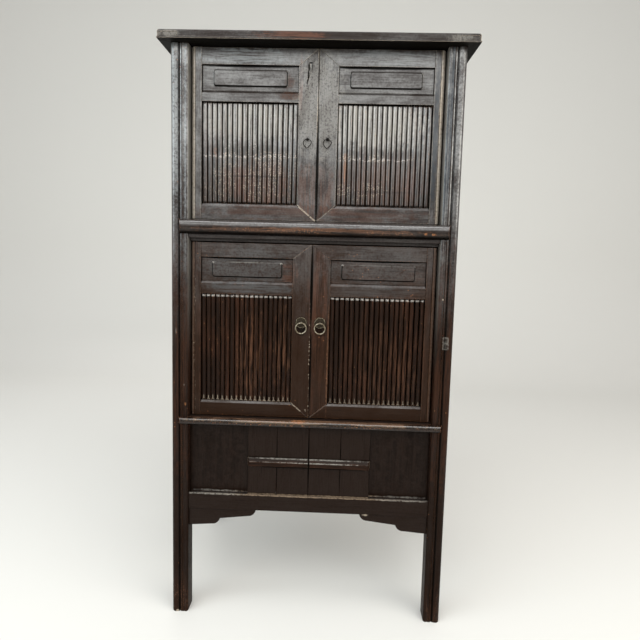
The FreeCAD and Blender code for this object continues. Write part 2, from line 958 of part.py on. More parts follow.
def chamfer_tool(name, arris):
    """Wedge that takes off the front arris of a door rail at a height."""
    depth = size.door_rail_chamfer_depth
    height = size.door_rail_chamfer_height
    lip = size.door_rail_setback
    section = [
        (door_rail_front - lip, arris - height * (1 + lip / depth)),
        (door_rail_front + depth * (1 + lip / height), arris + lip),
        (door_rail_front - lip, arris + lip),
    ]
    return bar(name, section, -half_span(0), half_span(0))


def make_door_rails(name, side, tier):
    """Top, middle and bottom rail of a door; the outer two are mitred to the meeting stile.

    The upward front arrises of the lower two are chamfered.
    """

    def stile_edge(z):
        return side * (half_opening(z) - size.door_side_gap - size.pivot_stile_width)

    edge = tier.meeting + side * size.door_meeting_gap / 2
    inner = edge + side * size.meeting_stile_width
    under_top = tier.top - tier.top_rail
    mid_top = under_top - tier.panel
    mid_low = mid_top - tier.mid_rail
    over_bottom = tier.bottom + tier.bottom_rail
    paths = {
        "top": [(edge, tier.top), (inner, under_top), (stile_edge(under_top), under_top),
                (stile_edge(tier.top), tier.top)],
        "middle": [(inner, mid_top), (inner, mid_low), (stile_edge(mid_low), mid_low),
                   (stile_edge(mid_top), mid_top)],
        "bottom": [(edge, tier.bottom), (inner, over_bottom), (stile_edge(over_bottom), over_bottom),
                   (stile_edge(tier.bottom), tier.bottom)],
    }
    sticks = []
    for part, path in paths.items():
        stick = board(f"{name}_{part}", path, door_rail_front, door_back)
        if part != "top":
            arris = mid_top if part == "middle" else over_bottom
            stick = cut(f"{name}_{part}_eased", stick, [chamfer_tool(f"{name}_{part}_chamfer", arris)])
        sticks.append(stick)
    keep(group(name, sticks))
    return stile_edge, inner, under_top, mid_top, mid_low, over_bottom


def make_door_panel(name, side, stile_edge, inner, low, high):
    """Panel with a raised field whose corners are round and whose edges slope."""
    face = door_rail_front + size.door_panel_setback
    path = [
        (inner, low),
        (inner, high),
        (stile_edge(high), high),
        (stile_edge(low), low),
    ]
    panel = board(name, path, face, face + size.door_panel_thickness)
    near = inner + side * size.field_inset_side
    far = stile_edge(high) - side * size.field_inset_side
    base = low + size.field_inset_end
    crown = high - size.field_inset_end
    corner = size.field_corner_radius
    along = side * corner
    field = [
        (near, crown - corner, corner, side),
        (near + along, crown),
        (far - along, crown, corner, side),
        (far, crown - corner),
        (far, base + corner, corner, side),
        (far - along, base),
        (near + along, base, corner, side),
        (near, base + corner),
    ]
    raised = pad_outline(panel, name + "_field", "XZ_Plane", -face, field, size.field_height, -1)
    bind(raised, "TaperAngle", -size.field_edge_angle)
    keep(panel)


def make_slats(name, side, stile_edge, inner, low, high):
    """Row of ridged slats with bowed flanks, bevelled at both ends, that lean half as much as the post."""
    slope = -side * lean / 2
    pitch = (stile_edge(high) - inner) * side / size.slat_count
    row_length = pitch * (size.slat_count - 1)
    crest = door_rail_front + size.slat_setback
    rear = crest + size.slat_thickness
    row_middle = (inner + stile_edge(low)) / 2
    first = row_middle - side * (row_length + size.slat_width) / 2
    ridge = first + side * size.slat_width / 2
    last = first + side * size.slat_width
    plan = [
        (first, rear),
        (first, crest + size.slat_crown, size.slat_flank_radius, -side),
        (ridge, crest, size.slat_flank_radius, -side),
        (last, crest + size.slat_crown),
        (last, rear),
    ]
    body = leaning(name, plan, low, high, slope, -1)
    row = body.newObject("PartDesign::LinearPattern", name + "_row")
    row.Originals = [body.Tip]
    row.Direction = (origin_part(body, "X_Axis"), [""])
    row.Reversed = side < 0
    bind(row, "Length", row_length)
    bind(row, "Occurrences", size.slat_count)
    body.Tip = row
    depth = size.slat_bevel_depth
    height = size.slat_bevel_height
    lip = size.slat_setback / 2
    for end, tip, sign in (("top", high, -1), ("bottom", low, 1)):
        sketch = new_sketch(body, f"{name}_{end}_bevel", "YZ_Plane", as_measure(0))
        draw(sketch, [
            (crest - lip, tip + sign * height * (1 + lip / depth)),
            (crest - lip, tip - sign * lip),
            (crest + depth * (1 + lip / height), tip - sign * lip),
        ])
        bevel = body.newObject("PartDesign::Pocket", f"{name}_{end}_trim")
        bevel.Profile = sketch
        bevel.Type = "ThroughAll"
        bevel.Midplane = True
    keep(body)


def pull_place(side, tier):
    """Middle of a meeting stile at the height of its pull."""
    height = size.upper_pull_height if tier.name == "upper" else size.lower_pull_height
    edge = tier.meeting + side * size.door_meeting_gap / 2
    return edge + side * size.meeting_stile_width / 2, height


def make_doors():
    """Four doors, each a frame with a raised panel over a row of slats."""
    for tier in door_tiers():
        for side_name, side in SIDES.items():
            door = f"{tier.name}_{side_name}_door"
            pull = pull_place(side, tier)
            make_pivot_stile(f"{door}_pivot_stile", side, tier)
            make_meeting_stile(f"{door}_meeting_stile", side, tier, pull)
            levels = make_door_rails(f"{door}_rails", side, tier)
            stile_edge, inner, under_top, mid_top, mid_low, over_bottom = levels
            make_door_panel(f"{door}_panel", side, stile_edge, inner, mid_top, under_top)
            make_slats(f"{door}_slats", side, stile_edge, inner, over_bottom, mid_low)


# Pulls


def make_eye(name, place_x, place_z, wire):
    """Eye of wire whose shank goes into the door; the pull hangs in the eye."""
    hang_y = door_rail_front - size.pull_stand_off
    radius = wire + size.eye_clearance + size.eye_wire_radius
    loop = hoop(name + "_loop", (place_x, hang_y, place_z), radius, size.eye_wire_radius, Y_AXIS)
    tail = door_rail_front + size.shank_depth
    start = hang_y + radius
    shank = rod(name + "_shank", (place_x, tail, place_z), tail - start, size.shank_radius, X_AXIS, 90)
    keep(fuse(name, [loop, shank]))
    return hang_y


def make_plate(name, place_x, place_z):
    """Round plate with a raised rim, pierced for the shank of the eye."""
    body = doc.addObject("PartDesign::Body", name)
    sketch = new_sketch(body, name + "_profile", "XY_Plane", as_measure(0))
    hole = size.shank_radius + size.shank_clearance
    rim = size.plate_radius - size.plate_rim_width
    draw(sketch, [
        (hole, 0),
        (size.plate_radius, 0),
        (size.plate_radius, -size.plate_thickness),
        (size.plate_radius - size.plate_rim_width / 2, -size.plate_rim_height),
        (rim, -size.plate_thickness),
        (hole, -size.plate_thickness),
    ])
    turned = body.newObject("PartDesign::Revolution", name + "_turned")
    turned.Profile = sketch
    turned.ReferenceAxis = (origin_part(body, "Y_Axis"), [""])
    turned.Angle = 360
    place(body, place_x, door_rail_front, place_z)
    keep(body)


def make_pulls():
    """Thin wire loops on the upper doors, plates and rings on the lower ones."""
    for tier in door_tiers():
        for side_name, side in SIDES.items():
            name = f"{tier.name}_{side_name}"
            place_x, place_z = pull_place(side, tier)
            if tier.name == "upper":
                radius, wire, pull = size.loop_radius, size.loop_wire_radius, f"{name}_pull_loop"
            else:
                radius, wire, pull = size.ring_radius, size.ring_wire_radius, f"{name}_pull_ring"
                make_plate(f"{name}_pull_plate", place_x, place_z)
            hang_y = make_eye(f"{name}_pull_eye", place_x, place_z, wire)
            keep(hoop(pull, (place_x, hang_y, place_z - radius), radius, wire, X_AXIS))


# Bottom compartment


def make_fixed_panels():
    """Panels beside the sliding doors, held between the posts, the ledge and the bottom rail."""
    face = slide_back + size.fixed_panel_gap
    panels = []
    for side_name, side in SIDES.items():
        end = side * (size.sliding_door_width - size.fixed_panel_overlap)
        path = [
            (end, size.bottom_rail_top),
            (end, ledge_bottom),
            (side * half_opening(ledge_bottom), ledge_bottom),
            (side * half_opening(size.bottom_rail_top), size.bottom_rail_top),
        ]
        panels.append(board(f"{side_name}_fixed_panel", path, face, face + size.fixed_panel_thickness))
    keep(group("fixed_panels", panels))


def make_sliding_doors():
    """Two doors of two boards each, with a ridged batten across them to pull by."""
    face = slide_front
    low = size.bottom_rail_top - size.sliding_groove_depth
    high = ledge_bottom + size.sliding_top_engagement
    for side_name, side in SIDES.items():
        start = size.sliding_meeting_gap / 2
        seam = start + size.sliding_inner_board
        spans = {
            "inner": (start, seam - size.sliding_board_gap / 2),
            "outer": (seam + size.sliding_board_gap / 2, size.sliding_door_width),
        }
        boards = []
        for part, (near, far) in spans.items():
            path = [(side * near, low), (side * near, high), (side * far, high), (side * far, low)]
            name = f"{side_name}_sliding_{part}_board"
            boards.append(board(name, path, face, face + size.sliding_door_thickness))
        keep(group(f"{side_name}_sliding_boards", boards))
        nose = face - size.batten_projection
        base = size.batten_bottom
        section = [
            (face, base),
            (nose + size.batten_lower_setback, base),
            (nose, base + size.batten_ridge_height),
            (nose + size.batten_upper_setback, base + size.batten_height),
            (face, base + size.batten_height),
        ]
        ends = (start, size.sliding_door_width)
        low_x, high_x = (-ends[1], -ends[0]) if side < 0 else ends
        length = bar(f"{side_name}_batten_bar", section, low_x, high_x)
        plan = slab(
            f"{side_name}_batten_plan",
            [
                (side * start, face),
                (side * start, nose),
                (side * (size.sliding_door_width - size.batten_end_bevel), nose),
                (side * size.sliding_door_width, face),
            ],
            base,
            base + size.batten_height,
        )
        keep(common(f"{side_name}_sliding_batten", length, plan))


def check_document():
    """Stop if any object failed, or any sub-part has no sound shape."""
    for item in doc.Objects:
        if "Invalid" in item.State or "Error" in item.State:
            raise RuntimeError(f"{item.Name} failed to build")
    for node in nodes:
        if node.Shape.isNull() or not node.Shape.isValid() or not node.Shape.Solids:
            raise RuntimeError(f"{node.Label} has no valid shape")


def write_parts():
    """Write one file for each sub-part."""
    os.makedirs("parts", exist_ok=True)
    for node in nodes:
        node.Shape.exportStep(f"parts/{node.Label}.step")
    print(len(nodes), "sub-parts written")


tenons = {"front": front_tenons(), "back": back_tenons()}
for side_name, side in SIDES.items():
    tenons[side_name] = side_tenons(side_name, side)
make_top()
front_posts = make_posts(tenons)
make_mid_rail(tenons["front"]["mid"], front_posts)
make_ledge(tenons["front"]["ledge"], front_posts)
make_bottom_rail(tenons["front"]["bottom"])
make_brackets()
make_sides(tenons)
make_back(tenons["back"])
make_floors()
make_doors()
make_pulls()
make_fixed_panels()
make_sliding_doors()
doc.recompute()
check_document()
write_parts()
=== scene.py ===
# %% [markdown]
# # Dressing a lacquered food cabinet
# The cabinet arrives as a fixed frame: sixty pieces with their true sizes, grouped in bodies that move.
# This lesson gives each piece its finish. No piece leaves its place or changes its size, so all of them
# still fit after every step.

# %% Load the frame
import json
import math
import random
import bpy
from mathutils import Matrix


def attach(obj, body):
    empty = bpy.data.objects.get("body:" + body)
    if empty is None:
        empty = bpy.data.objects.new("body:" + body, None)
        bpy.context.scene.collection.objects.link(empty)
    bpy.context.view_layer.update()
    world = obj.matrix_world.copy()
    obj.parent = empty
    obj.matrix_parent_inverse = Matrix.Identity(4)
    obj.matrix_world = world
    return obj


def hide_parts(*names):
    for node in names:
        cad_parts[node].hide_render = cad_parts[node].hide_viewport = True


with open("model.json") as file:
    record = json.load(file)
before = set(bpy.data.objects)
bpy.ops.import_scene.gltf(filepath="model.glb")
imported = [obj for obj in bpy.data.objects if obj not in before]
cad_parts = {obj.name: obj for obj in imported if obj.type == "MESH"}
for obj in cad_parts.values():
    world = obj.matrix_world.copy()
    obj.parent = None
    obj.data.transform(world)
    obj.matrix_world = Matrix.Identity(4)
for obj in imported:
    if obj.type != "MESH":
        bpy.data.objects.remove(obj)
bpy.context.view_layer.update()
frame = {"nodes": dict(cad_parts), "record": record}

from types import SimpleNamespace

import bmesh
import bpy
from mathutils import Matrix, Vector

MM = 0.001
nodes = frame["nodes"]
record = frame["record"]
body_of_node = {node: body for body, group in record["behaviour"]["bodies"].items() for node in group}
slot_of_node = {part["node"]: part["material_slot"] for part in record["subparts"]}
scene = bpy.context.scene

# %% [markdown]
# ## The camera
# The picture was taken by hand from a little right of the middle, at chest height, tipped down and a little
# rolled. A camera could be placed by eye. These numbers come from fitting straight lines of the cabinet to
# the picture instead, so that the render lines up with it edge by edge.

# %% Camera at the photograph's angle
CAMERA_PLACE = (0.0617, -1.7387, 1.2003)
CAMERA_PITCH_DOWN = 8.29
CAMERA_YAW = 1.46
CAMERA_ROLL = 1.49
LEVEL = 90
FOCAL_PIXELS = 481
IMAGE_PIXELS = 640
SENSOR_WIDTH = 36


def put(name, data):
    """New object in the scene."""
    made = bpy.data.objects.new(name, data)
    scene.collection.objects.link(made)
    return made


def turned(degrees, axis):
    """Rotation about an axis."""
    return Matrix.Rotation(math.radians(degrees), 3, axis)


camera_data = bpy.data.cameras.new("camera")
camera_data.sensor_width = SENSOR_WIDTH
camera_data.lens = SENSOR_WIDTH * FOCAL_PIXELS / IMAGE_PIXELS
camera = put("camera", camera_data)
heading = turned(CAMERA_YAW, "Z") @ turned(LEVEL - CAMERA_PITCH_DOWN, "X") @ turned(CAMERA_ROLL, "Z")
camera.matrix_world = Matrix.Translation(CAMERA_PLACE) @ heading.to_4x4()
scene.camera = camera
print("lens", round(camera_data.lens, 2), "mm")

# %% [markdown]
# ## Windows and lamps
# Dark lacquer shows mostly what it mirrors, so each light is placed as a thing to be mirrored. A tall soft
# window high in front lies in the mirror direction of the upper doors, so they turn grey, while the lower
# doors mirror the dim floor far in front and stay dark. A cool window on the left and a warm one on the
# right draw the round edges of the posts, a lamp overhead draws the bright lines along everything that
# faces up, and a faint one behind keeps the back readable.

# %% Soft lights
LAMPS = {
    "window": dict(place=(0.1, -3.3, 3.3), target=(0, -0.31, 1.25), size=(5.6, 2.8), radiance=2.5,
                   colour=(0.99, 1.0, 0.98)),
    "left_window": dict(place=(-3.05, -2.2, 2.3), target=(-0.2, -0.3, 1.5), size=(2.2, 1.9), radiance=4.5,
                        colour=(0.86, 0.96, 1.0)),
    "right_window": dict(place=(3.05, -2.2, 2.3), target=(0.2, -0.3, 1.5), size=(2.2, 1.9), radiance=4.0,
                         colour=(1.0, 0.97, 0.90)),
    "overhead_light": dict(place=(0, -0.8, 3.4), target=(0, -0.2, 0), size=(2.4, 1.0), radiance=3.0),
    "back_fill": dict(place=(-1.2, 3.2, 1.8), target=(-1.2, 0.2, 1.8), size=(2.4, 1.6), radiance=1.2),
}


def soft_light(name, place, target, size, radiance, colour=(1, 1, 1)):
    """Rectangular soft light that faces a target; radiance is how bright its face looks."""
    data = bpy.data.lights.new(name, "AREA")
    data.shape = "RECTANGLE"
    data.size, data.size_y = size
    data.color = colour
    data.energy = radiance * math.pi * data.size * data.size_y
    lamp = put(name, data)
    lamp.location = place
    lamp.rotation_euler = (Vector(target) - Vector(place)).to_track_quat("-Z", "Y").to_euler()


for name, settings in LAMPS.items():
    soft_light(name, **settings)

# %% [markdown]
# ## Light from all around
# Indoors, little light comes from below and more from above, and so it is in this world, which lights the
# cabinet only softly. The camera could see that too, but its background would then be uneven. So the
# camera, and rays that are mirrored or pass through something, meet a plain pale backdrop instead.

# %% World
DIM_BELOW = 0.1
BRIGHT_ABOVE = 0.6
HORIZON = (0.0, 0.25)
BACKDROP = 0.62
WORLD_TINT = (1, 0.99, 0.97, 1)


def soft_world(name):
    """World that is dim below the horizon and brighter above it, with a plain backdrop for what sees it."""
    world = bpy.data.worlds.new(name)
    world.use_nodes = True
    tree = world.node_tree
    direction = tree.nodes.new("ShaderNodeTexCoord")
    split = tree.nodes.new("ShaderNodeSeparateXYZ")
    rise = tree.nodes.new("ShaderNodeMapRange")
    tree.links.new(direction.outputs["Generated"], split.inputs[0])
    tree.links.new(split.outputs["Z"], rise.inputs["Value"])
    for key, number in zip(("From Min", "From Max", "To Min", "To Max"), (*HORIZON, DIM_BELOW, BRIGHT_ABOVE)):
        rise.inputs[key].default_value = number
    path = tree.nodes.new("ShaderNodeLightPath")
    shown = path.outputs["Is Camera Ray"]
    for ray in ("Is Glossy Ray", "Is Transmission Ray"):
        either = tree.nodes.new("ShaderNodeMath")
        either.operation = "MAXIMUM"
        tree.links.new(shown, either.inputs[0])
        tree.links.new(path.outputs[ray], either.inputs[1])
        shown = either.outputs[0]
    seen = tree.nodes.new("ShaderNodeMix")
    tree.links.new(shown, seen.inputs[0])
    tree.links.new(rise.outputs["Result"], seen.inputs[2])
    seen.inputs[3].default_value = BACKDROP
    background = tree.nodes["Background"]
    tree.links.new(seen.outputs[0], background.inputs["Strength"])
    background.inputs["Color"].default_value = WORLD_TINT
    return world


scene.world = soft_world("room")
scene.view_settings.view_transform = "Standard"
print("world", scene.world.name)

# %% [markdown]
# ## The floor
# The cabinet stands on a plain pale floor. Two planes could make a floor and a wall, but the corner between
# them would show behind the cabinet. One profile that bends up, drawn from side to side, has no such line.

# %% Floor and backdrop
FLOOR_COLOUR = (0.75, 0.74, 0.71, 1)
FLOOR_ROUGHNESS = 0.9
BEND_STEPS = 12


def plain_surface(name, colour, roughness):
    """Matt material for the stage."""
    material = bpy.data.materials.new(name)
    material.use_nodes = True
    shader = material.node_tree.nodes["Principled BSDF"]
    shader.inputs["Base Color"].default_value = colour
    shader.inputs["Roughness"].default_value = roughness
    return material


def sweep(name, half_width, front, back, bend, height):
    """Floor that curves up into a backdrop behind the object."""
    profile = [(front, 0), (back - bend, 0)]
    for step in range(1, BEND_STEPS + 1):
        angle = math.pi / 2 * step / BEND_STEPS
        profile.append((back - bend + bend * math.sin(angle), bend - bend * math.cos(angle)))
    profile.append((back, height))
    mesh = bpy.data.meshes.new(name)
    points = [(x, y, z) for x in (-half_width, half_width) for y, z in profile]
    count = len(profile)
    faces = [(i, count + i, count + i + 1, i + 1) for i in range(count - 1)]
    mesh.from_pydata(points, [], faces)
    for polygon in mesh.polygons:
        polygon.use_smooth = True
    mesh.materials.append(plain_surface(name, FLOOR_COLOUR, FLOOR_ROUGHNESS))
    stage = put(name, mesh)
    return stage


floor = sweep("floor", half_width=40, front=-9, back=3.6, bend=1.2, height=6)
print(floor.name, "with", len(floor.data.polygons), "faces")

# %% [markdown]
# ## A small kit for finishes
# Every finish is a tree of shader nodes. Adding nodes one by one takes many lines, so this kit names the
# few moves that all finishes need: a node with its inputs, arithmetic, a soft step, a blend of colours and
# noise.


# %% The finish kit
class Finish:
    """One material and short ways to fill its node tree."""

    def __init__(self, name):
        self.material = bpy.data.materials.new(name)
        self.material.use_nodes = True
        self.tree = self.material.node_tree
        self.shader = self.tree.nodes["Principled BSDF"]
        corner = self.add("ShaderNodeTexCoord")
        self.place = corner.outputs["Object"]
        self.facing = corner.outputs["Normal"]

    def add(self, kind, inputs=None, **settings):
        """New node with its settings; an input takes a value or another node's output."""
        made = self.tree.nodes.new(kind)
        for key, value in settings.items():
            setattr(made, key, value)
        for key, value in (inputs or {}).items():
            self.feed(made.inputs[key], value)
        return made

    def feed(self, socket, value):
        """Set an input, or link it."""
        if isinstance(value, bpy.types.NodeSocket):
            self.tree.links.new(value, socket)
        elif socket.type == "RGBA":
            socket.default_value = (*value, 1)
        else:
            socket.default_value = value

    def set(self, key, value):
        """Set or link an input of the shader."""
        self.feed(self.shader.inputs[key], value)

    def math(self, operation, first, second=0.0):
        """Arithmetic on two numbers."""
        return self.add("ShaderNodeMath", {0: first, 1: second}, operation=operation).outputs[0]

    def vector(self, operation, first, second=(0, 0, 0)):
        """Arithmetic on two places or directions, which gives another one."""
        return self.add("ShaderNodeVectorMath", {0: first, 1: second}, operation=operation).outputs["Vector"]

    def measure(self, operation, first, second=(0, 0, 0)):
        """Length of a direction, or dot product of two, which gives a number."""
        return self.add("ShaderNodeVectorMath", {0: first, 1: second}, operation=operation).outputs["Value"]

    def part(self, vector, axis):
        """One of the three numbers of a place or direction."""
        return self.add("ShaderNodeSeparateXYZ", {0: vector}).outputs[axis]

    def plus(self, *terms):
        """Sum of terms, each a number or a pair of a number and its weight."""
        total = None
        for term in terms:
            if isinstance(term, tuple):
                term = self.math("MULTIPLY", *term)
            total = term if total is None else self.math("ADD", total, term)
        return total

    def times(self, first, *others):
        """Product of numbers."""
        for other in others:
            first = self.math("MULTIPLY", first, other)
        return first

    def step(self, value, low, high):
        """Soft step from 0 at low to 1 at high."""
        inputs = {"Value": value, "From Min": low, "From Max": high}
        made = self.add("ShaderNodeMapRange", inputs, interpolation_type="SMOOTHSTEP")
        return made.outputs["Result"]

    def mix(self, share, first, second):
        """Blend of two colours."""
        made = self.add("ShaderNodeMix", {0: share, 6: first, 7: second}, data_type="RGBA")
        return made.outputs[2]

    def noise(self, vector, scale, detail, rough):
        """Cloudy noise from 0 to 1."""
        inputs = {"Vector": vector, "Scale": scale, "Detail": detail, "Roughness": rough}
        return self.add("ShaderNodeTexNoise", inputs).outputs["Fac"]


# %% [markdown]
# ## Finding places on a piece
# Wear and painted shade are not the same all over: they sit on edges, in corners, along grooves and in
# spots. Such places could be painted by hand on an image, but an image fits one mesh at one size. These masks
# are worked out from a point's place in the cabinet and from the shape around it, so they stay sharp and need
# no image.

# %% Masks
POST_LEAN = 0.0147309
EDGE_SAMPLES = 4
CORNER_SAMPLES = 6
DOT_FADE = 0.6
BAND_FADE = 0.4
SPOT_FADE = (1.0, 0.55)
SPOT_NOISE = dict(scale=60, detail=3.0, rough=0.6)
DRIFT_NOISE = dict(scale=38, detail=3.0, rough=0.65)
NOISE_MIDDLE = 0.5
DEPTH_AXIS = (0, 1, 0)


class WornFinish(Finish):
    """Finish that can tell edges, corners, lines and spots from the rest of a piece."""

    def dots(self, scale, size):
        """Scattered round dots: 1 in a dot and 0 between; size is a share of their spacing."""
        inputs = {"Vector": self.place, "Scale": scale}
        reach = self.add("ShaderNodeTexVoronoi", inputs).outputs["Distance"]
        return self.step(reach, size, DOT_FADE * size)

    def stretched(self, along, factor):
        """Coordinates that run slowly along one axis, for grain."""
        scale = [1.0, 1.0, 1.0]
        scale["XYZ".index(along)] = factor
        return self.add("ShaderNodeMapping", {"Vector": self.place, "Scale": scale}).outputs["Vector"]

    def edges(self, radius):
        """How near a point is to an edge of its piece, from 0 to about 0.3 on a square edge."""
        rounded = self.add("ShaderNodeBevel", {"Radius": radius}, samples=EDGE_SAMPLES).outputs["Normal"]
        normal = self.add("ShaderNodeNewGeometry").outputs["Normal"]
        return self.math("SUBTRACT", 1.0, self.measure("DOT_PRODUCT", rounded, normal))

    def hollows(self, distance):
        """1 in the open, down to 0 in deep corners."""
        inputs = {"Distance": distance}
        return self.add("ShaderNodeAmbientOcclusion", inputs, samples=CORNER_SAMPLES).outputs["AO"]

    def outwards(self):
        """Above 0 on faces that look away from the middle of the cabinet, and below 0 on the others."""
        level = self.vector("MULTIPLY", self.place, (1, 1, 0))
        return self.measure("DOT_PRODUCT", level, self.facing)

    def lean(self):
        """Distance from the middle, corrected for the lean of the posts, so a leaning edge has one value."""
        sideways = self.math("ABSOLUTE", self.part(self.place, "X"))
        return self.plus(sideways, (self.part(self.place, "Z"), POST_LEAN))

    def band(self, value, middle, half):
        """1 close to a middle value and 0 further than half away."""
        away = self.math("ABSOLUTE", self.math("SUBTRACT", value, middle))
        return self.step(away, half, BAND_FADE * half)

    def outline(self, middle, half, corner, width):
        """1 along a rounded rectangle that faces the front, and 0 away from it."""
        away = self.vector("ABSOLUTE", self.vector("SUBTRACT", self.place, middle))
        past = self.vector("SUBTRACT", away, (half[0] - corner, 1, half[2] - corner))
        reach = self.measure("LENGTH", self.vector("MAXIMUM", past))
        return self.band(reach, corner, width)

    def stroke(self, start, end, half):
        """1 along a straight line between two points on the front, and 0 further than half away from it."""
        run = Vector(end) - Vector(start)
        along = run.normalized()
        away = self.vector("SUBTRACT", self.place, start)
        across = self.band(self.measure("DOT_PRODUCT", away, along.cross(DEPTH_AXIS)), 0.0, half)
        reach = self.measure("DOT_PRODUCT", away, along)
        begun = self.step(reach, -half, half)
        unended = self.step(reach, run.length + half, run.length - half)
        return self.times(across, begun, unended)

    def wander(self, reach):
        """Places that drift up and down by about a fifth of reach, so that a level line goes astray."""
        drift = self.math("SUBTRACT", self.noise(self.place, **DRIFT_NOISE), NOISE_MIDDLE)
        lift = self.add("ShaderNodeCombineXYZ", {"Z": self.math("MULTIPLY", drift, reach)}).outputs[0]
        return self.vector("ADD", self.place, lift)

    def spot(self, centre, radii, ragged, place):
        """Ragged spot: 1 in its middle and 0 outside, with its size in metres along each axis."""
        start = [-c / r for c, r in zip(centre, radii)]
        grow = [1 / r for r in radii]
        inputs = {"Vector": place, "Location": start, "Scale": grow}
        shifted = self.add("ShaderNodeMapping", inputs).outputs[0]
        wobble = self.math("SUBTRACT", self.noise(self.place, **SPOT_NOISE), NOISE_MIDDLE)
        return self.step(self.plus(self.measure("LENGTH", shifted), (wobble, 2 * ragged)), *SPOT_FADE)


# %% [markdown]
# ## Old lacquer
# The cabinet was lacquered nearly black over a brown stain and then used for a century. Hands and dust have
# left three layers to see: black lacquer, brown where it has thinned along the grain, and bare orange-brown
# or pale wood at the edges. Each finish could be a tree of its own. One set of layers makes them all
# instead, for any direction of the grain, so the pieces look related and differ only in how strong each
# layer is.

# %% Colours and shapes of marks
BLACK = (0.0125, 0.0068, 0.0046)
BROWN = (0.044, 0.0185, 0.0105)
RED_BROWN = (0.115, 0.046, 0.026)
RUST = (0.17, 0.082, 0.046)
ORANGE = (0.27, 0.115, 0.05)
TAN = (0.26, 0.19, 0.13)
PALE = (0.42, 0.35, 0.27)
CHALK = (0.46, 0.43, 0.39)
DUST_AND_SHEEN = (0.12, 0.123, 0.12)
# Nearly black: mostly painted shade in gaps, corners, grooves and undersides, also dark fibres and dirt.
DIRT_AND_SHADE = (0.003, 0.0025, 0.002)
STONE = (0.24, 0.225, 0.20)
SHEEN_SLATE = (0.10, 0.115, 0.122)
SHEEN_GREY = (0.21, 0.225, 0.23)
INK = (0.016, 0.022, 0.029)
SOFT, FLECKS, RUBBED, THREADS, RIDGE, SOLID, TRAIL, FLANK = range(8)

# %% What all layers of a lacquer share
FIBRE = dict(scale=300, detail=4.0, rough=0.65)
STREAK = dict(scale=95, detail=5.0, rough=0.6)
PATCH = dict(scale=8, detail=4.0, rough=0.6)
CLOUD = dict(scale=21, detail=4.0, rough=0.65)
NICK = dict(scale=170, detail=3.0, rough=0.7)
GRAIN_STRETCH = 0.05
CLOUD_STRETCH = 0.4
FRONT = (-0.2, -0.25)


class Lacquer(WornFinish):
    """Finish of a wooden piece, with the noises and directions that all its layers share."""

    def __init__(self, name, along, wanted):
        super().__init__(name)
        self.along = along
        self.wanted = wanted
        grain = self.stretched(along, GRAIN_STRETCH)
        self.fibre = self.noise(grain, **FIBRE)
        self.streak = self.noise(grain, **STREAK)
        self.patch = self.noise(self.place, **PATCH)
        self.cloud = self.noise(self.stretched(along, CLOUD_STRETCH), **CLOUD)
        self.nick = self.noise(self.place, **NICK)
        self.tone = self.add("ShaderNodeAttribute", attribute_name="tone").outputs["Fac"]
        self.height = self.part(self.place, "Z")
        self.front = self.step(self.part(self.place, "Y"), *FRONT)
        self.rise = self.part(self.facing, "Z")
        self.aside = self.part(self.facing, "X")
        self.sideways = self.math("ABSOLUTE", self.aside)
        self.open_air = self.hollows(wanted.grime * MM)
        self.colour = wanted.dark
        self.marked = 0.0
        self.shade_and_dirt = 0.0

    def cover(self, share, shade):
        """Lay a colour over what is there."""
        self.colour = self.mix(share, self.colour, shade)

    def paint(self, share, shade):
        """Lay a colour over what is there; the nearly black one, mostly painted shade, is also kept to dull
        the polish.
        """
        self.cover(share, shade)
        if shade == DIRT_AND_SHADE:
            self.shade_and_dirt = self.math("MAXIMUM", share, self.shade_and_dirt)


# %% Stain and haze
THIN_START = 0.95
THIN_REACH = 0.5
THIN_SPAN = 0.25
HAZE = (0.42, 0.62)
OUTSIDE = (0.05, 0.1)


def stain(finish):
    """Nearly black lacquer, brown where it has thinned along the grain, and a grey haze higher up, dust and
    painted sheen.
    """
    wanted = finish.wanted
    thinned = finish.plus(
        (finish.patch, 0.4), (finish.streak, 0.35), (finish.fibre, 0.45), (finish.tone, wanted.odd)
    )
    least = THIN_START - THIN_REACH * wanted.thin
    thinned = finish.step(thinned, least, least + THIN_SPAN)
    finish.cover(thinned, wanted.brown)
    speckled = 0.5 * wanted.mottle
    haze = finish.plus((finish.cloud, 0.5), (finish.fibre, 0.5 - speckled), (finish.nick, speckled))
    haze = finish.times(finish.step(haze, *HAZE), wanted.haze)
    # The haze grows with height: it is dust, and a painted sheen for the upper parts that mirror the windows.
    finish.cover(finish.times(haze, finish.step(finish.height, *wanted.hazy)), DUST_AND_SHEEN)
    if wanted.two_sided:
        finish.cover(finish.step(finish.outwards(), *OUTSIDE), finish.mix(thinned, BLACK, BROWN))


# %% [markdown]
# ## Layers of use
# A mark is a spot of colour that is broken up in one of eight ways: soft along the grain, in flecks,
# rubbed, in threads of the grain, on the ridge of a slat, solid, as a wavy trail, or on the left flank of a
# slat. Painted shade darkens the foot of the raised fields of the door panels and the grooves of the posts
# and stiles. On dark lacquer a dark colour alone hardly shows, because the polish over it still mirrors the
# windows, so this painted shade, and some dirt, is also kept as a mask that dulls the polish.

# %% Marks and rims
FLECK_SCALE = 190
FLECK_SIZE = 0.42
FLECK_CLOUD = (0.42, 0.5)
GRAIN_LINES = (0.42, 0.56)
RUBBED_NICKS = (0.36, 0.5)
THREAD_FIBRES = (0.5, 0.6)
RIDGE_TURN = (0.35, 0.15)
TRAIL_NICKS = (0.44, 0.56)
TRAIL_DRIFT = 40 * MM
FLANK_TURN = (-0.05, -0.4)
RAGGED = 0.7
SOLID_RAGGED = 0.15
FIELD_CORNER = 6.5 * MM
FIELD_EDGE = 2.2 * MM
FIELD_SKIN = 0.1 * MM
RIM_TURN = (0.4, 0.1)
RIM_SHADE_SHARE = 0.9
DARK_FIBRES = (0.42, 0.32)
DARK_FIBRE_SHARE = 0.4


def corners(points):
    """Lowest and highest corner of some points."""
    rows = list(zip(*points))
    return Vector([min(row) for row in rows]), Vector([max(row) for row in rows])


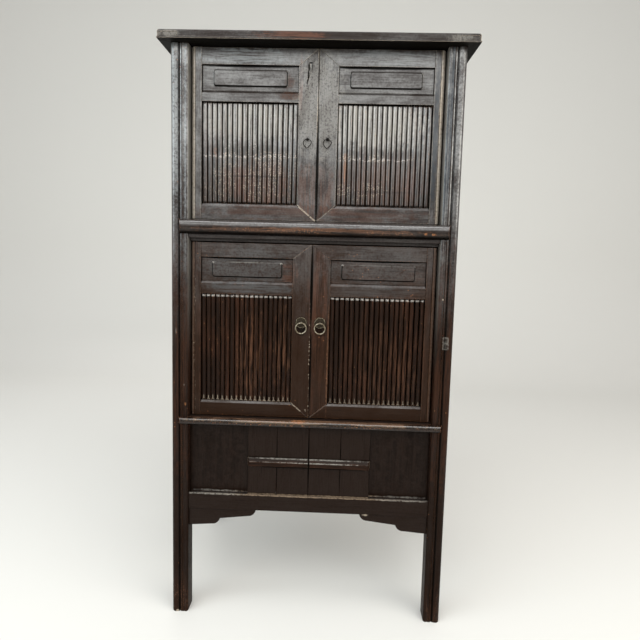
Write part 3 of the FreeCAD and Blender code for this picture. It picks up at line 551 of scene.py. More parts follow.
def field_of(node):
    """Middle and half size of the raised field of a door panel, taken at the foot of its sloping edge."""
    points = [point.co for point in nodes[node].data.vertices]
    front = min(point.y for point in points)
    low, high = corners([point for point in points if point.y < front + FIELD_SKIN])
    return (low + high) / 2, (high - low) / 2 + Vector((MM, 0, MM))


def shapes_of(finish):
    """How a mark of each shape is broken up."""
    lines = finish.step(finish.plus((finish.streak, 0.5), (finish.fibre, 0.5)), *GRAIN_LINES)
    flecks = finish.times(finish.dots(FLECK_SCALE, FLECK_SIZE), finish.step(finish.cloud, *FLECK_CLOUD))
    return {
        SOFT: lines,
        FLECKS: flecks,
        RUBBED: finish.step(finish.nick, *RUBBED_NICKS),
        THREADS: finish.step(finish.fibre, *THREAD_FIBRES),
        # Faces that look to the front, for painted highlights on the ridges of the slats.
        RIDGE: finish.step(finish.sideways, *RIDGE_TURN),
        SOLID: 1.0,
        TRAIL: finish.step(finish.nick, *TRAIL_NICKS),
        # Faces turned to the left, for the painted highlight on the slats' left flanks.
        FLANK: finish.step(finish.aside, *FLANK_TURN),
    }


def mark(finish):
    """Marks of use and painted light, painted shade around the raised fields, and dark fibres."""
    finish.shapes = shapes_of(finish)
    for shade, share, centre, radii, shape in finish.wanted.marks:
        ragged = SOLID_RAGGED if shape == SOLID else RAGGED
        place = finish.wander(TRAIL_DRIFT) if shape == TRAIL else finish.place
        spot = finish.times(finish.spot(centre, radii, ragged, place), finish.shapes[shape], share)
        finish.paint(spot, shade)
        finish.marked = finish.math("MAXIMUM", spot, finish.marked)
    for node in finish.wanted.fields:
        rim = finish.outline(*field_of(node), FIELD_CORNER, FIELD_EDGE)
        # Painted shade: a dark line along the foot of each raised field, left off where the faces look up.
        finish.paint(finish.times(rim, finish.step(finish.rise, *RIM_TURN), RIM_SHADE_SHARE), DIRT_AND_SHADE)
    finish.cover(finish.times(finish.step(finish.fibre, *DARK_FIBRES), DARK_FIBRE_SHARE), DIRT_AND_SHADE)


# %% Painted light on inner faces, painted lines along the posts and stiles, and highlighted rounds
INWARDS = (-0.05, -0.1)
INNER_HEIGHT = (0.8, 1.4)
FLANK_FROM = (0.2, 0.4)
FLANK_TO = (0.85, 0.65)


def line(finish):
    """Painted light on inner faces, painted lines that lean with the posts, and rounds rubbed pale and
    highlighted.
    """
    wanted = finish.wanted
    rubbed = finish.shapes[RUBBED]
    # Painted light: the faces of the posts that look towards the middle are made paler, more so higher up.
    if wanted.inner:
        finish.inwards = finish.step(finish.outwards(), *INWARDS)
        inner = finish.times(finish.inwards, finish.step(finish.height, *INNER_HEIGHT))
        finish.cover(finish.times(inner, finish.plus(0.4, (finish.cloud, 1.0)), wanted.inner), STONE)
    # Each line is a painted highlight on a bead or painted shade in a groove.
    for shade, share, middle, half in wanted.lines:
        thread = finish.times(finish.band(finish.lean(), middle, half), finish.front)
        finish.paint(finish.times(thread, finish.plus(0.35, (rubbed, 0.65)), share), shade)
    # Faces turned sideways, as on round edges, are made pale: rubbed wear, and a painted highlight on the
    # rounds.
    if wanted.rubbed:
        begun = finish.step(finish.sideways, *FLANK_FROM)
        unended = finish.step(finish.sideways, *FLANK_TO)
        finish.cover(finish.times(begun, unended, wanted.rubbed, rubbed), STONE)


# %% [markdown]
# ## Worn edges, polish and grain
# Bare wood shows first where hands and cloths pass: on edges that stand free, and in small specks. Mitres
# that have opened show as pale scratches, and two tenon ends as faint outlines. The polish follows the
# wear: it is dull low down and in corners, and broken up along the grain. Two bumps, one slow from the
# plane and one fine from the fibres, keep the mirrored window from looking like glass.

# %% Worn edges, and painted shade below and in corners
EDGE_REACH = 3.5 * MM
WORN_START = 0.34
WORN_REACH = 0.26
WORN_SPAN = 0.12
STANDS_FREE = (0.3, 0.8)
SPECK_SCALE = 70
SPECK_SIZE = 0.1
SPECK_PATCH = (0.5, 0.6)
SPECK_SHARE = 0.8
PLUG_CORNER = 2 * MM
PLUG_EDGE = 2.6 * MM
PLUG_SHARE = 0.4
UNDERSIDE = (-0.3, -0.8)
UNDERSIDE_SHADE = 0.9


def wear(finish):
    """Bare edges and specks, the marks' painted shade and dirt, scratches, tenon ends, and painted shade
    below and in corners.
    """
    wanted = finish.wanted
    rubbed = finish.shapes[RUBBED]
    broken = finish.plus(0.2, (finish.nick, 1.1), (finish.cloud, 0.8))
    least = WORN_START - WORN_REACH * wanted.wear
    worn = finish.step(finish.times(finish.edges(EDGE_REACH), broken), least, least + WORN_SPAN)
    finish.worn = finish.times(worn, finish.step(finish.open_air, *STANDS_FREE))
    finish.cover(finish.worn, wanted.bare)
    speck = finish.dots(SPECK_SCALE, SPECK_SIZE * wanted.speck)
    speck = finish.times(speck, finish.step(finish.patch, *SPECK_PATCH), SPECK_SHARE)
    finish.cover(speck, wanted.bare)
    # The marks' painted shade and dirt, laid again over the wear.
    finish.cover(finish.shade_and_dirt, DIRT_AND_SHADE)
    for shade, share, start, end, half in wanted.scratches:
        finish.cover(finish.times(finish.stroke(start, end, half), finish.front, rubbed, share), shade)
    for middle, half in wanted.plugs:
        rim = finish.outline(middle, half, PLUG_CORNER, PLUG_EDGE)
        finish.cover(finish.times(rim, finish.front, rubbed, PLUG_SHARE), STONE)
    # Painted shade: faces that look down are darkened to nearly black.
    finish.under = finish.step(finish.rise, *UNDERSIDE)
    finish.cover(finish.times(finish.under, UNDERSIDE_SHADE), DIRT_AND_SHADE)
    # Painted shade: colour goes to nearly black in corners and crevices, where little open air is around a
    # point.
    finish.clear = finish.step(finish.open_air, *wanted.clear)
    finish.colour = finish.mix(finish.clear, DIRT_AND_SHADE, finish.colour)
    finish.set("Base Color", finish.colour)


# %% Polish
ROUGH_BASE = 0.16
FACES_UP = (0.12, 0.5)
BROKEN_POLISH = (0.38, 0.6)
BLOTCHES = (0.35, 0.6)
FOOT_HEIGHT = (0.7, 0.3)
COAT_ROUGHNESS = 0.18


def less(finish, mask, loss):
    """Factor that is 1 away from a mask and loses a share inside it."""
    return finish.plus(1.0, (mask, -loss))


def polish(finish):
    """Roughness, and how strongly the surface mirrors."""
    wanted = finish.wanted
    smoothest = wanted.rough - ROUGH_BASE
    rough = finish.plus(smoothest, (finish.cloud, 0.22), (finish.fibre, 0.1), (finish.worn, 0.25))
    finish.set("Roughness", rough)
    high = finish.step(finish.height, *wanted.lit)
    high = finish.math("MAXIMUM", high, finish.step(finish.rise, *FACES_UP))
    gloss = finish.plus(wanted.dull, (high, 1 - wanted.dull))
    speckled = (finish.nick, wanted.mottle)
    broken = finish.plus((finish.fibre, 0.8 - wanted.mottle), speckled, (finish.cloud, 0.2))
    gloss = finish.times(gloss, finish.plus(0.6, (finish.step(broken, *BROKEN_POLISH), 0.6)))
    gloss = finish.times(gloss, finish.clear, less(finish, finish.under, 0.9))
    if wanted.blotch:
        blotch = finish.step(finish.cloud, *BLOTCHES)
        gloss = finish.times(gloss, finish.plus(1 - wanted.blotch, (blotch, 1.5 * wanted.blotch)))
    if wanted.marks:
        gloss = finish.times(gloss, less(finish, finish.marked, 0.6), less(finish, finish.shade_and_dirt, 0.85))
    if wanted.inner:
        foot = finish.step(finish.height, *FOOT_HEIGHT)
        inner_foot = finish.times(foot, finish.inwards)
        gloss = finish.times(gloss, less(finish, foot, 0.4), less(finish, inner_foot, 0.6))
    finish.set("Specular IOR Level", finish.times(gloss, wanted.shine))
    if wanted.coat:
        finish.set("Coat Weight", finish.times(gloss, wanted.coat))
        finish.set("Coat Roughness", COAT_ROUGHNESS)


# %% Grain, and all layers together
PLANED = dict(scale=26, detail=2.0, rough=0.5)
PLANED_STRETCH = 0.22
PLANED_DEPTH = 1.6 * MM
GRAIN_DEPTH = 0.7 * MM
BUMP_STRENGTH = 0.5


def relief(finish):
    """Slow waves from the plane, and fine grain over them."""
    planed = finish.noise(finish.stretched(finish.along, PLANED_STRETCH), **PLANED)
    inputs = {"Height": planed, "Strength": BUMP_STRENGTH, "Distance": PLANED_DEPTH}
    waves = finish.add("ShaderNodeBump", inputs).outputs["Normal"]
    nicked = (finish.nick, 0.3 + finish.wanted.pits)
    grain = finish.plus((finish.fibre, 0.5), (finish.streak, 0.45), (finish.worn, -0.5), nicked)
    inputs = {"Height": grain, "Strength": BUMP_STRENGTH, "Distance": GRAIN_DEPTH, "Normal": waves}
    finish.set("Normal", finish.add("ShaderNodeBump", inputs).outputs["Normal"])


def lacquer(name, along, wanted):
    """Worn lacquer over wood whose grain runs along X, Y or Z."""
    finish = Lacquer(name, along, wanted)
    for layer in (stain, mark, line, wear, polish, relief):
        layer(finish)
    return finish.material


# %% [markdown]
# ## Where the marks are
# The picture shows where hands, knocks and damp have been: a reddish rub on the top's edge, brown patches
# on the upper doors, a line of light flecks across the upper slats, orange flecks on the mouldings and
# scuffed feet. They could be scattered at random, but then no mark would be where the picture has it. So
# each is written down as a colour, its strength, its middle, its half size in metres, and the way in which
# it is broken up. Many marks are painted light and shade instead: painted shadows under rails and behind
# the pulls, painted shade in gaps, painted highlights on bevels, beads and edges, and painted sheen where
# the windows are mirrored.


# %% Marks of the top and the upper doors
def marks_at(depth, reach, rows):
    """Marks at one depth; a row is colour, strength, x and z, half width and half height, and shape."""
    return tuple(
        (shade, share, (x, depth, z), (half_x, reach, half_z), shape)
        for shade, share, x, z, half_x, half_z, shape in rows
    )


DOOR_Y = -0.288
TOP_FRONT = -0.335
BATTEN_FRONT = -0.29
SHALLOW = 0.03
DEEP = 0.05
TOP_MARKS = marks_at(TOP_FRONT, SHALLOW, (
    (BLACK, 0.7, 0.02, 1.776, 0.20, 0.020, RUBBED),
    (RED_BROWN, 0.65, -0.075, 1.776, 0.13, 0.014, SOFT),
    (STONE, 0.5, -0.41, 1.778, 0.035, 0.012, RUBBED),
    (STONE, 0.4, 0.39, 1.776, 0.05, 0.010, RUBBED),
))
UPPER_DOOR_MARKS = marks_at(DOOR_Y, SHALLOW, (
    (BROWN, 0.95, -0.075, 1.634, 0.04, 0.014, RUBBED),
    (BROWN, 0.8, -0.080, 1.672, 0.016, 0.026, RUBBED),
    (RED_BROWN, 0.5, -0.046, 1.66, 0.008, 0.09, SOFT),
    (BROWN, 0.8, 0, 1.305, 0.40, 0.035, SOFT),
    (RED_BROWN, 0.35, 0, 1.38, 0.09, 0.09, SOFT),
    (STONE, 0.35, 0.01, 1.60, 0.09, 0.18, RUBBED),
    # Painted sheen on the top rails of the upper doors.
    (SHEEN_GREY, 0.75, -0.22, 1.738, 0.17, 0.024, SOFT),
    (SHEEN_GREY, 0.45, 0.20, 1.738, 0.17, 0.024, SOFT),
    (INK, 0.8, 0.3430, 1.53, 0.011, 0.26, RUBBED),
    # Painted highlight on the bead of the right pivot stile.
    (PALE, 0.9, 0.3535, 1.63, 0.0065, 0.13, RUBBED),
    # Painted shade along the walls of the gouge.
    (DIRT_AND_SHADE, 0.95, -0.0245, 1.7125, 0.0032, 0.012, SOLID),
    (DIRT_AND_SHADE, 0.9, -0.0190, 1.7235, 0.0065, 0.0026, SOLID),
    (DIRT_AND_SHADE, 0.7, -0.0155, 1.712, 0.0020, 0.011, SOLID),
    (DIRT_AND_SHADE, 0.9, -0.0262, 1.690, 0.0026, 0.018, SOLID),
    (DIRT_AND_SHADE, 0.7, -0.0288, 1.672, 0.0020, 0.010, SOLID),
    # Painted shadow of the top rails on the tops of the panels.
    (DIRT_AND_SHADE, 0.9, -0.19, 1.7128, 0.17, 0.0034, SOLID),
    (DIRT_AND_SHADE, 0.9, 0.19, 1.7128, 0.17, 0.0034, SOLID),
    # Painted shade in the gap between the doors.
    (DIRT_AND_SHADE, 0.9, 0.004, 1.695, 0.0022, 0.045, SOLID),
    (DIRT_AND_SHADE, 0.95, 0.0048, 1.42, 0.0052, 0.20, SOLID),
    (PALE, 0.7, 0.0025, 1.745, 0.0018, 0.02, RUBBED),
    (PALE, 0.7, 0.0025, 1.56, 0.0018, 0.10, RUBBED),
    # Painted shadows behind the wire loops.
    (DIRT_AND_SHADE, 0.9, -0.0248, 1.516, 0.006, 0.006, RUBBED),
    (DIRT_AND_SHADE, 0.9, 0.0328, 1.516, 0.006, 0.006, RUBBED),
))
print(len(TOP_MARKS), "marks on the top,", len(UPPER_DOOR_MARKS), "on the upper doors")

# %% Marks of the slats
SLAT_MARKS = marks_at(DOOR_Y, DEEP, (
    (RED_BROWN, 0.45, -0.17, 1.39, 0.14, 0.08, SOFT),
    (RED_BROWN, 0.25, 0.20, 1.41, 0.17, 0.11, SOFT),
    # Painted sheen on the upper half of the upper slats, and a painted highlight on their left flanks.
    (STONE, 0.75, -0.20, 1.565, 0.19, 0.065, SOFT),
    (STONE, 0.9, 0.16, 1.56, 0.17, 0.075, SOFT),
    (CHALK, 0.4, -0.20, 1.565, 0.22, 0.09, FLANK),
    (CHALK, 0.5, 0.16, 1.56, 0.20, 0.10, FLANK),
    (CHALK, 0.85, -0.20, 1.4655, 0.24, 0.0036, TRAIL),
    (BLACK, 0.4, -0.20, 1.484, 0.16, 0.020, RUBBED),
    (PALE, 0.5, -0.20, 1.40, 0.20, 0.08, FLECKS),
    (PALE, 0.7, -0.21, 1.470, 0.22, 0.014, FLECKS),
    (CHALK, 0.8, -0.22, 1.492, 0.07, 0.012, FLECKS),
    (CHALK, 0.75, 0.15, 1.4625, 0.18, 0.0032, TRAIL),
    (BLACK, 0.4, 0.19, 1.480, 0.16, 0.018, RUBBED),
    (PALE, 0.6, 0.18, 1.466, 0.20, 0.013, FLECKS),
    # Painted shade at the lower ends of the upper slats, and a painted shadow of the rail above their tops.
    (DIRT_AND_SHADE, 0.7, -0.19, 1.3325, 0.20, 0.0036, RUBBED),
    (DIRT_AND_SHADE, 0.7, 0.19, 1.3325, 0.20, 0.0036, RUBBED),
    (DIRT_AND_SHADE, 0.9, -0.19, 1.6135, 0.17, 0.0032, SOLID),
    (DIRT_AND_SHADE, 0.9, 0.19, 1.6135, 0.17, 0.0032, SOLID),
    (PALE, 0.5, 0.12, 1.375, 0.12, 0.03, FLECKS),
    # Painted shadow lines across the slats.
    (BLACK, 0.8, -0.17, 1.409, 0.13, 0.004, RUBBED),
    (BLACK, 0.7, 0.20, 1.372, 0.10, 0.004, RUBBED),
    (RUST, 0.9, -0.294, 1.478, 0.007, 0.012, TRAIL),
    (ORANGE, 0.6, 0.085, 1.440, 0.006, 0.05, SOFT),
    (BROWN, 0.3, -0.19, 0.88, 0.15, 0.18, SOFT),
    (BROWN, 0.25, 0.19, 0.86, 0.15, 0.17, SOFT),
    (RUST, 0.4, -0.19, 0.86, 0.05, 0.18, THREADS),
    (RUST, 0.35, -0.09, 0.90, 0.03, 0.17, THREADS),
    (RUST, 0.2, 0.24, 0.84, 0.12, 0.15, THREADS),
    (ORANGE, 0.9, -0.23, 0.767, 0.02, 0.022, FLECKS),
    # Painted highlights on the top bevels of the lower slats and on the ridges of their lower ends.
    (CHALK, 0.5, -0.20, 1.0545, 0.25, 0.0042, RUBBED),
    (CHALK, 0.5, 0.19, 1.0545, 0.25, 0.0042, RUBBED),
    (PALE, 0.55, -0.20, 0.733, 0.25, 0.010, RIDGE),
    (PALE, 0.4, 0.19, 0.733, 0.25, 0.010, RIDGE),
))
print(len(SLAT_MARKS), "marks on the slats")

# %% Marks of the lower doors
LOWER_DOOR_MARKS = marks_at(DOOR_Y, SHALLOW, (
    # Painted sheen on the upper part of the lower doors.
    (SHEEN_SLATE, 0.22, -0.20, 1.15, 0.18, 0.07, RUBBED),
    (SHEEN_SLATE, 0.15, 0.19, 1.15, 0.18, 0.07, RUBBED),
    (RED_BROWN, 0.3, -0.07, 1.13, 0.03, 0.04, SOFT),
    (RED_BROWN, 0.25, 0.02, 1.05, 0.04, 0.14, SOFT),
    (PALE, 0.8, -0.006, 0.93, 0.002, 0.29, FLECKS),
    # Painted sheen on the middle rails of the lower doors.
    (SHEEN_SLATE, 0.3, -0.20, 1.082, 0.16, 0.022, SOFT),
    (SHEEN_SLATE, 0.15, 0.19, 1.082, 0.16, 0.022, SOFT),
    # Painted shadow of the top rails on the tops of the panels.
    (DIRT_AND_SHADE, 0.9, -0.20, 1.1688, 0.17, 0.0034, SOLID),
    (DIRT_AND_SHADE, 0.9, 0.19, 1.1688, 0.17, 0.0034, SOLID),
    # Painted shade in the gap between the doors.
    (DIRT_AND_SHADE, 0.95, -0.0032, 1.09, 0.0052, 0.15, SOLID),
    (DIRT_AND_SHADE, 0.9, -0.0024, 0.83, 0.0040, 0.15, SOLID),
    # Painted shadows behind the rings.
    (DIRT_AND_SHADE, 0.6, -0.0328, 0.959, 0.024, 0.024, RUBBED),
    (DIRT_AND_SHADE, 0.6, 0.0248, 0.959, 0.024, 0.024, RUBBED),
    # Painted highlight on the bead of the left pivot stile, broken into flecks.
    (PALE, 0.8, -0.3624, 0.82, 0.0032, 0.14, FLECKS),
    (PALE, 0.7, -0.3586, 1.08, 0.0032, 0.14, FLECKS),
    # Painted glints on the top corners of the raised fields, and a painted highlight along their top edges.
    (CHALK, 0.7, -0.3030, 1.1550, 0.0040, 0.0032, RUBBED),
    (CHALK, 0.8, -0.0965, 1.1550, 0.0040, 0.0032, RUBBED),
    (CHALK, 0.6, 0.0885, 1.1550, 0.0040, 0.0032, RUBBED),
    (STONE, 0.5, -0.20, 1.1572, 0.105, 0.0018, RUBBED),
    (STONE, 0.35, 0.195, 1.1572, 0.105, 0.0018, RUBBED),
    (PALE, 0.4, -0.02, 0.70, 0.012, 0.008, FLECKS),
    (RUST, 0.4, 0.05, 0.85, 0.003, 0.20, RUBBED),
))
print(len(LOWER_DOOR_MARKS), "marks on the lower doors")

# %% Marks of the mouldings, the posts and the base
MOULDING_MARKS = (
    (ORANGE, 0.6, (0, -0.33, 1.252), (0.43, 0.04, 0.008), FLECKS),
    (RUST, 0.45, (0, -0.33, 1.252), (0.43, 0.04, 0.014), SOFT),
    (ORANGE, 1.0, (0.324, -0.33, 1.252), (0.006, 0.03, 0.004), RUBBED),
    (ORANGE, 1.0, (0.345, -0.33, 1.252), (0.006, 0.03, 0.004), RUBBED),
    (ORANGE, 0.7, (0, -0.325, 0.668), (0.43, 0.04, 0.010), FLECKS),
    (TAN, 0.45, (0, -0.325, 0.672), (0.43, 0.05, 0.009), SOFT),
    (TAN, 0.8, (0.385, -0.32, 0.665), (0.03, 0.05, 0.010), FLECKS),
    (RUST, 0.6, (0, -0.325, 0.676), (0.43, 0.05, 0.006), SOFT),
    (ORANGE, 0.9, (-0.035, -0.31, 0.676), (0.03, 0.04, 0.006), RUBBED),
)
POST_MARKS = (
    # Painted sheen on the round of the left post.
    (SHEEN_GREY, 0.5, (-0.405, -0.30, 1.56), (0.022, 0.04, 0.30), RUBBED),
    (INK, 0.85, (0.3770, -0.31, 1.54), (0.011, 0.03, 0.32), SOLID),
    (BROWN, 0.3, (-0.42, -0.30, 0.05), (0.06, 0.06, 0.12), SOFT),
    (BROWN, 0.3, (0.42, -0.30, 0.05), (0.06, 0.06, 0.12), SOFT),
    (RUST, 0.35, (-0.42, -0.31, 0.04), (0.05, 0.05, 0.07), FLECKS),
    (RUST, 0.25, (0.42, -0.31, 0.05), (0.05, 0.05, 0.09), FLECKS),
    (PALE, 0.9, (-0.421, -0.30, 0.003), (0.010, 0.03, 0.006), RUBBED),
    (PALE, 0.7, (0.388, -0.31, 1.063), (0.003, 0.02, 0.003), RUBBED),
    (STONE, 0.8, (-0.4026, -0.31, 1.022), (0.004, 0.02, 0.004), RUBBED),
    (STONE, 0.5, (-0.4115, -0.31, 0.948), (0.0025, 0.02, 0.012), RUBBED),
    (ORANGE, 0.8, (-0.3874, -0.31, 0.716), (0.004, 0.02, 0.006), RUBBED),
    (STONE, 0.6, (-0.391, -0.31, 0.777), (0.003, 0.02, 0.004), RUBBED),
    (BROWN, 0.6, (-0.41, -0.31, 0.85), (0.07, 0.06, 0.45), SOFT),
    (BROWN, 0.6, (0.41, -0.31, 0.85), (0.07, 0.06, 0.45), SOFT),
)
BATTEN_MARKS = marks_at(BATTEN_FRONT, DEEP, (
    # Painted highlights along the top and the ridge of the battens.
    (STONE, 0.9, 0, 0.5330, 0.22, 0.0026, RUBBED),
    (STONE, 0.8, 0, 0.5432, 0.22, 0.0022, RUBBED),
    (BROWN, 0.6, -0.10, 0.526, 0.14, 0.014, SOFT),
    # Painted shadow under the battens, and painted shade in the gap between them.
    (DIRT_AND_SHADE, 0.9, 0, 0.5150, 0.22, 0.0040, SOLID),
    (DIRT_AND_SHADE, 0.95, 0.0005, 0.529, 0.0036, 0.03, SOLID),
))
BASE_MARKS = (
    # The lip of the bottom rail, worn and with a painted highlight along it.
    (TAN, 0.75, (0, -0.30, 0.4185), (0.42, 0.04, 0.0034), RUBBED),
    (STONE, 0.7, (-0.30, -0.30, 0.4185), (0.11, 0.04, 0.0040), RUBBED),
    (STONE, 0.6, (0.30, -0.30, 0.4185), (0.11, 0.04, 0.0040), RUBBED),
    (DIRT_AND_SHADE, 0.3, (-0.30, -0.272, 0.537), (0.16, 0.01, 0.20), SOFT),
    (DIRT_AND_SHADE, 0.3, (0.30, -0.272, 0.537), (0.16, 0.01, 0.20), SOFT),
    # Painted shade in the gaps and seams between the boards.
    (DIRT_AND_SHADE, 0.8, (-0.194, -0.29, 0.537), (0.0022, 0.04, 0.13), SOLID),
    (DIRT_AND_SHADE, 0.8, (0.194, -0.29, 0.537), (0.0022, 0.04, 0.13), SOLID),
    (DIRT_AND_SHADE, 0.9, (-0.1006, -0.29, 0.537), (0.0019, 0.04, 0.13), SOLID),
    (DIRT_AND_SHADE, 0.9, (0.1006, -0.29, 0.537), (0.0019, 0.04, 0.13), SOLID),
    (DIRT_AND_SHADE, 0.95, (0, -0.29, 0.537), (0.0028, 0.04, 0.13), SOLID),
    (PALE, 0.9, (0.185, -0.30, 0.363), (0.012, 0.02, 0.006), RUBBED),
)
OTHER_MARKS = (MOULDING_MARKS, POST_MARKS, BATTEN_MARKS, BASE_MARKS)
print("marks on mouldings, posts, battens and base:", *map(len, OTHER_MARKS))

# %% [markdown]
# ## Mitres, tenon ends and lines
# Some of what the picture shows is straight: mitres that have opened, the ends of two tenons in the right
# post, and the lines beside the beads and grooves, which are painted highlights on the beads and painted
# shade in the grooves. Round spots can't draw them. A mitre is a colour, its strength, its two ends and its
# half width. A tenon end is the middle and the half size of an outline. A line is a colour, its strength,
# its distance from the middle of the cabinet at the floor, and its half width.

# %% Mitres, tenon ends and lines
UPPER_MITRES = (
    (PALE, 0.95, (-0.0527, DOOR_Y, 1.329), (0.0032, DOOR_Y, 1.283), 0.0026),
    (STONE, 0.3, (0.0400, DOOR_Y, 1.312), (0.0048, DOOR_Y, 1.283), 0.0022),
)
LOWER_MITRES = (
    (STONE, 0.35, (-0.0607, DOOR_Y, 1.1715), (-0.0048, DOOR_Y, 1.2145), 0.0020),
    (PALE, 0.6, (-0.0607, DOOR_Y, 0.724), (-0.0300, DOOR_Y, 0.698), 0.0024),
    (STONE, 0.15, (0.0527, DOOR_Y, 0.724), (-0.0032, DOOR_Y, 0.677), 0.0020),
)
POST_PLUGS = (
    ((0.4035, -0.31, 0.9405), (0.0075, 1, 0.0080)),
    ((0.4045, -0.31, 0.9215), (0.0075, 1, 0.0080)),
)
POST_GROOVE_AT = 0.4165
POST_QUIRK_AT = 0.4075
BEAD_AT = 0.3795
BEAD_HALF = 6.5 * MM
QUIRK_AT = 0.3738
QUIRK_HALF = 1.4 * MM
# Painted shade in the groove and quirk of the posts; on the stiles a painted highlight on the bead and
# painted shade in the quirk.
POST_GROOVE_SHADES = (
    (DIRT_AND_SHADE, 0.95, POST_GROOVE_AT, 0.0036),
    (DIRT_AND_SHADE, 0.8, POST_QUIRK_AT, 0.0020),
)
UPPER_STILE_HIGHLIGHT_AND_SHADE = (
    (PALE, 0.7, BEAD_AT, BEAD_HALF),
    (BROWN, 0.8, QUIRK_AT, QUIRK_HALF),
)
LOWER_STILE_HIGHLIGHT_AND_SHADE = (
    (RUST, 0.3, BEAD_AT, BEAD_HALF),
    (DIRT_AND_SHADE, 0.8, QUIRK_AT, QUIRK_HALF),
)
print(len(UPPER_MITRES) + len(LOWER_MITRES), "mitres and", len(POST_PLUGS), "tenon ends")

# %% [markdown]
# ## One look for each kind of piece
# The pieces differ in how far each layer has gone: the posts are polished and hazy, the lower doors dark
# and whole, the battens dry and rubbed. Separate materials would repeat everything that they share, so a
# look only names what differs from the usual.


# %% Looks
def look(**changes):
    """Settings of a lacquer finish, with the usual ones filled in."""
    usual = dict(
        dark=BLACK, brown=BROWN, bare=ORANGE, thin=0.5, wear=0.5, rough=0.36, shine=0.7, coat=0.15, haze=0.15,
        speck=0.5, pits=0.0, grime=4, dull=0.4, odd=0.1, mottle=0.4, hazy=(0.9, 1.5), lit=(0.85, 1.35),
        clear=(0.25, 0.85), rubbed=0.0, inner=0.0, blotch=0.0, two_sided=False, lines=(), fields=(), plugs=(),
        scratches=(), marks=(),
    )
    usual.update(changes)
    return SimpleNamespace(**usual)


def panels_of(level):
    """The two door panels of a level."""
    return tuple(f"{level}_{side}_door_panel" for side in ("left", "right"))


LOOKS = {
    "post_lacquer": look(
        thin=0.35, wear=0.45, rough=0.3, shine=1.0, coat=0.6, haze=0.6, pits=0.6, grime=3, dull=0.08,
        mottle=0.7, blotch=0.3, inner=0.7, speck=1.3, lines=POST_GROOVE_SHADES, plugs=POST_PLUGS, marks=POST_MARKS,
    ),
    "top_lacquer": look(
        thin=0.5, wear=0.55, rough=0.5, shine=0.32, coat=0.0, bare=PALE, haze=0.25, marks=TOP_MARKS,
    ),
    "upper_door_lacquer": look(
        thin=0.45, wear=0.6, shine=0.9, coat=0.3, bare=PALE, haze=0.3, rubbed=0.6, blotch=0.3,
        clear=(0.5, 0.95), lines=UPPER_STILE_HIGHLIGHT_AND_SHADE, scratches=UPPER_MITRES, fields=panels_of("upper"),
        marks=UPPER_DOOR_MARKS,
    ),
    "slat_lacquer": look(
        thin=0.7, wear=0.5, shine=1.0, coat=0.7, haze=0.9, grime=1.5, dull=0.06, speck=1.2, lit=(1.15, 1.6),
        clear=(0.1, 0.6), hazy=(1.40, 1.56), marks=SLAT_MARKS,
    ),
    "lower_door_lacquer": look(
        dark=(0.020, 0.0095, 0.0052), thin=0.6, wear=0.3, shine=0.7, dull=0.12, speck=1.2, rubbed=0.15,
        blotch=0.3, clear=(0.5, 0.95), lines=LOWER_STILE_HIGHLIGHT_AND_SHADE, scratches=LOWER_MITRES,
        fields=panels_of("lower"), marks=LOWER_DOOR_MARKS,
    ),
    "worn_moulding_lacquer": look(
        thin=0.6, wear=0.6, rough=0.2, shine=0.9, coat=0.8, lit=(1.6, 1.9), dull=0.3, marks=MOULDING_MARKS,
    ),
    "base_lacquer": look(
        thin=0.35, wear=0.1, bare=BROWN, rough=0.4, shine=0.45, coat=0.1, dull=0.2, marks=BASE_MARKS,
    ),
    "batten_lacquer": look(
        thin=0.6, wear=0.7, bare=TAN, rough=0.5, shine=0.14, coat=0.0, marks=BATTEN_MARKS,
    ),
    "inner_wood": look(
        dark=(0.05, 0.03, 0.018), brown=(0.11, 0.065, 0.038), bare=RUST, wear=0.2, rough=0.6, shine=0.3,
        coat=0.0, haze=0.0, two_sided=True,
    ),
}
print("looks", list(LOOKS), "with", sum(len(wanted.marks) for wanted in LOOKS.values()), "marks")

# %% [markdown]
# ## Sticks with a life of their own
# A grille is many slats, cut from different wood and fitted by hand, so no two have quite the same tone or
# stand quite straight. Each slat could be an object, but a door would then be dozens of pieces. The
# separate sticks of one mesh are found by walking along its edges instead, and each gets a tone and, in a
# grille, a small turn.

# %% Separate sticks of a piece
SLAT_TURN = math.radians(4)
SLAT_SHIFT = 0.3 * MM
SEED = 7
chance = random.Random(SEED)


def sticks_of(work):
    """The separate sticks of a mesh, each as a list of its points."""
    left = set(work.verts)
    sticks = []
    for seed in work.verts:
        if seed not in left:
            continue
        left.discard(seed)
        stick = [seed]
        for point in stick:
            near = [edge.other_vert(point) for edge in point.link_edges]
            fresh = [other for other in near if other in left]
            left.difference_update(fresh)
            stick.extend(fresh)
        sticks.append(stick)
    return sticks


def vary_sticks(work, turning):
    """Give each stick its own tone, and turn it a little in its place where that is wanted."""
    tone = work.verts.layers.float.new("tone")
    for stick in sticks_of(work):
        shade = chance.random()
        for point in stick:
            point[tone] = shade
        if turning:
            middle = sum((point.co for point in stick), Vector()) / len(stick)
            spin = Matrix.Rotation(chance.uniform(-SLAT_TURN, SLAT_TURN), 4, "Z")
            bmesh.ops.rotate(work, cent=middle, matrix=spin, verts=stick)
            bmesh.ops.translate(work, vec=(chance.uniform(-SLAT_SHIFT, SLAT_SHIFT), 0, 0), verts=stick)


# %% [markdown]
# ## Pieces with softened edges
# A drawn solid has knife edges, and real edges are rounded by the plane and by hands. A bevel in the shader
# would round only the light, so the mesh itself is rounded: each piece is copied from its node, its flat
# faces are made whole again, and its sharp edges are bevelled by a millimetre or so. The flat faces come
# first, because a bevel runs badly across the many thin triangles of a drawn solid.

# %% Flat faces made whole
WELD = 0.002 * MM
FLAT = math.radians(1.0)


def folds_flat(edge):
    """Whether an edge joins two faces that lie in one plane."""
    return len(edge.link_faces) == 2 and edge.calc_face_angle(0) < FLAT


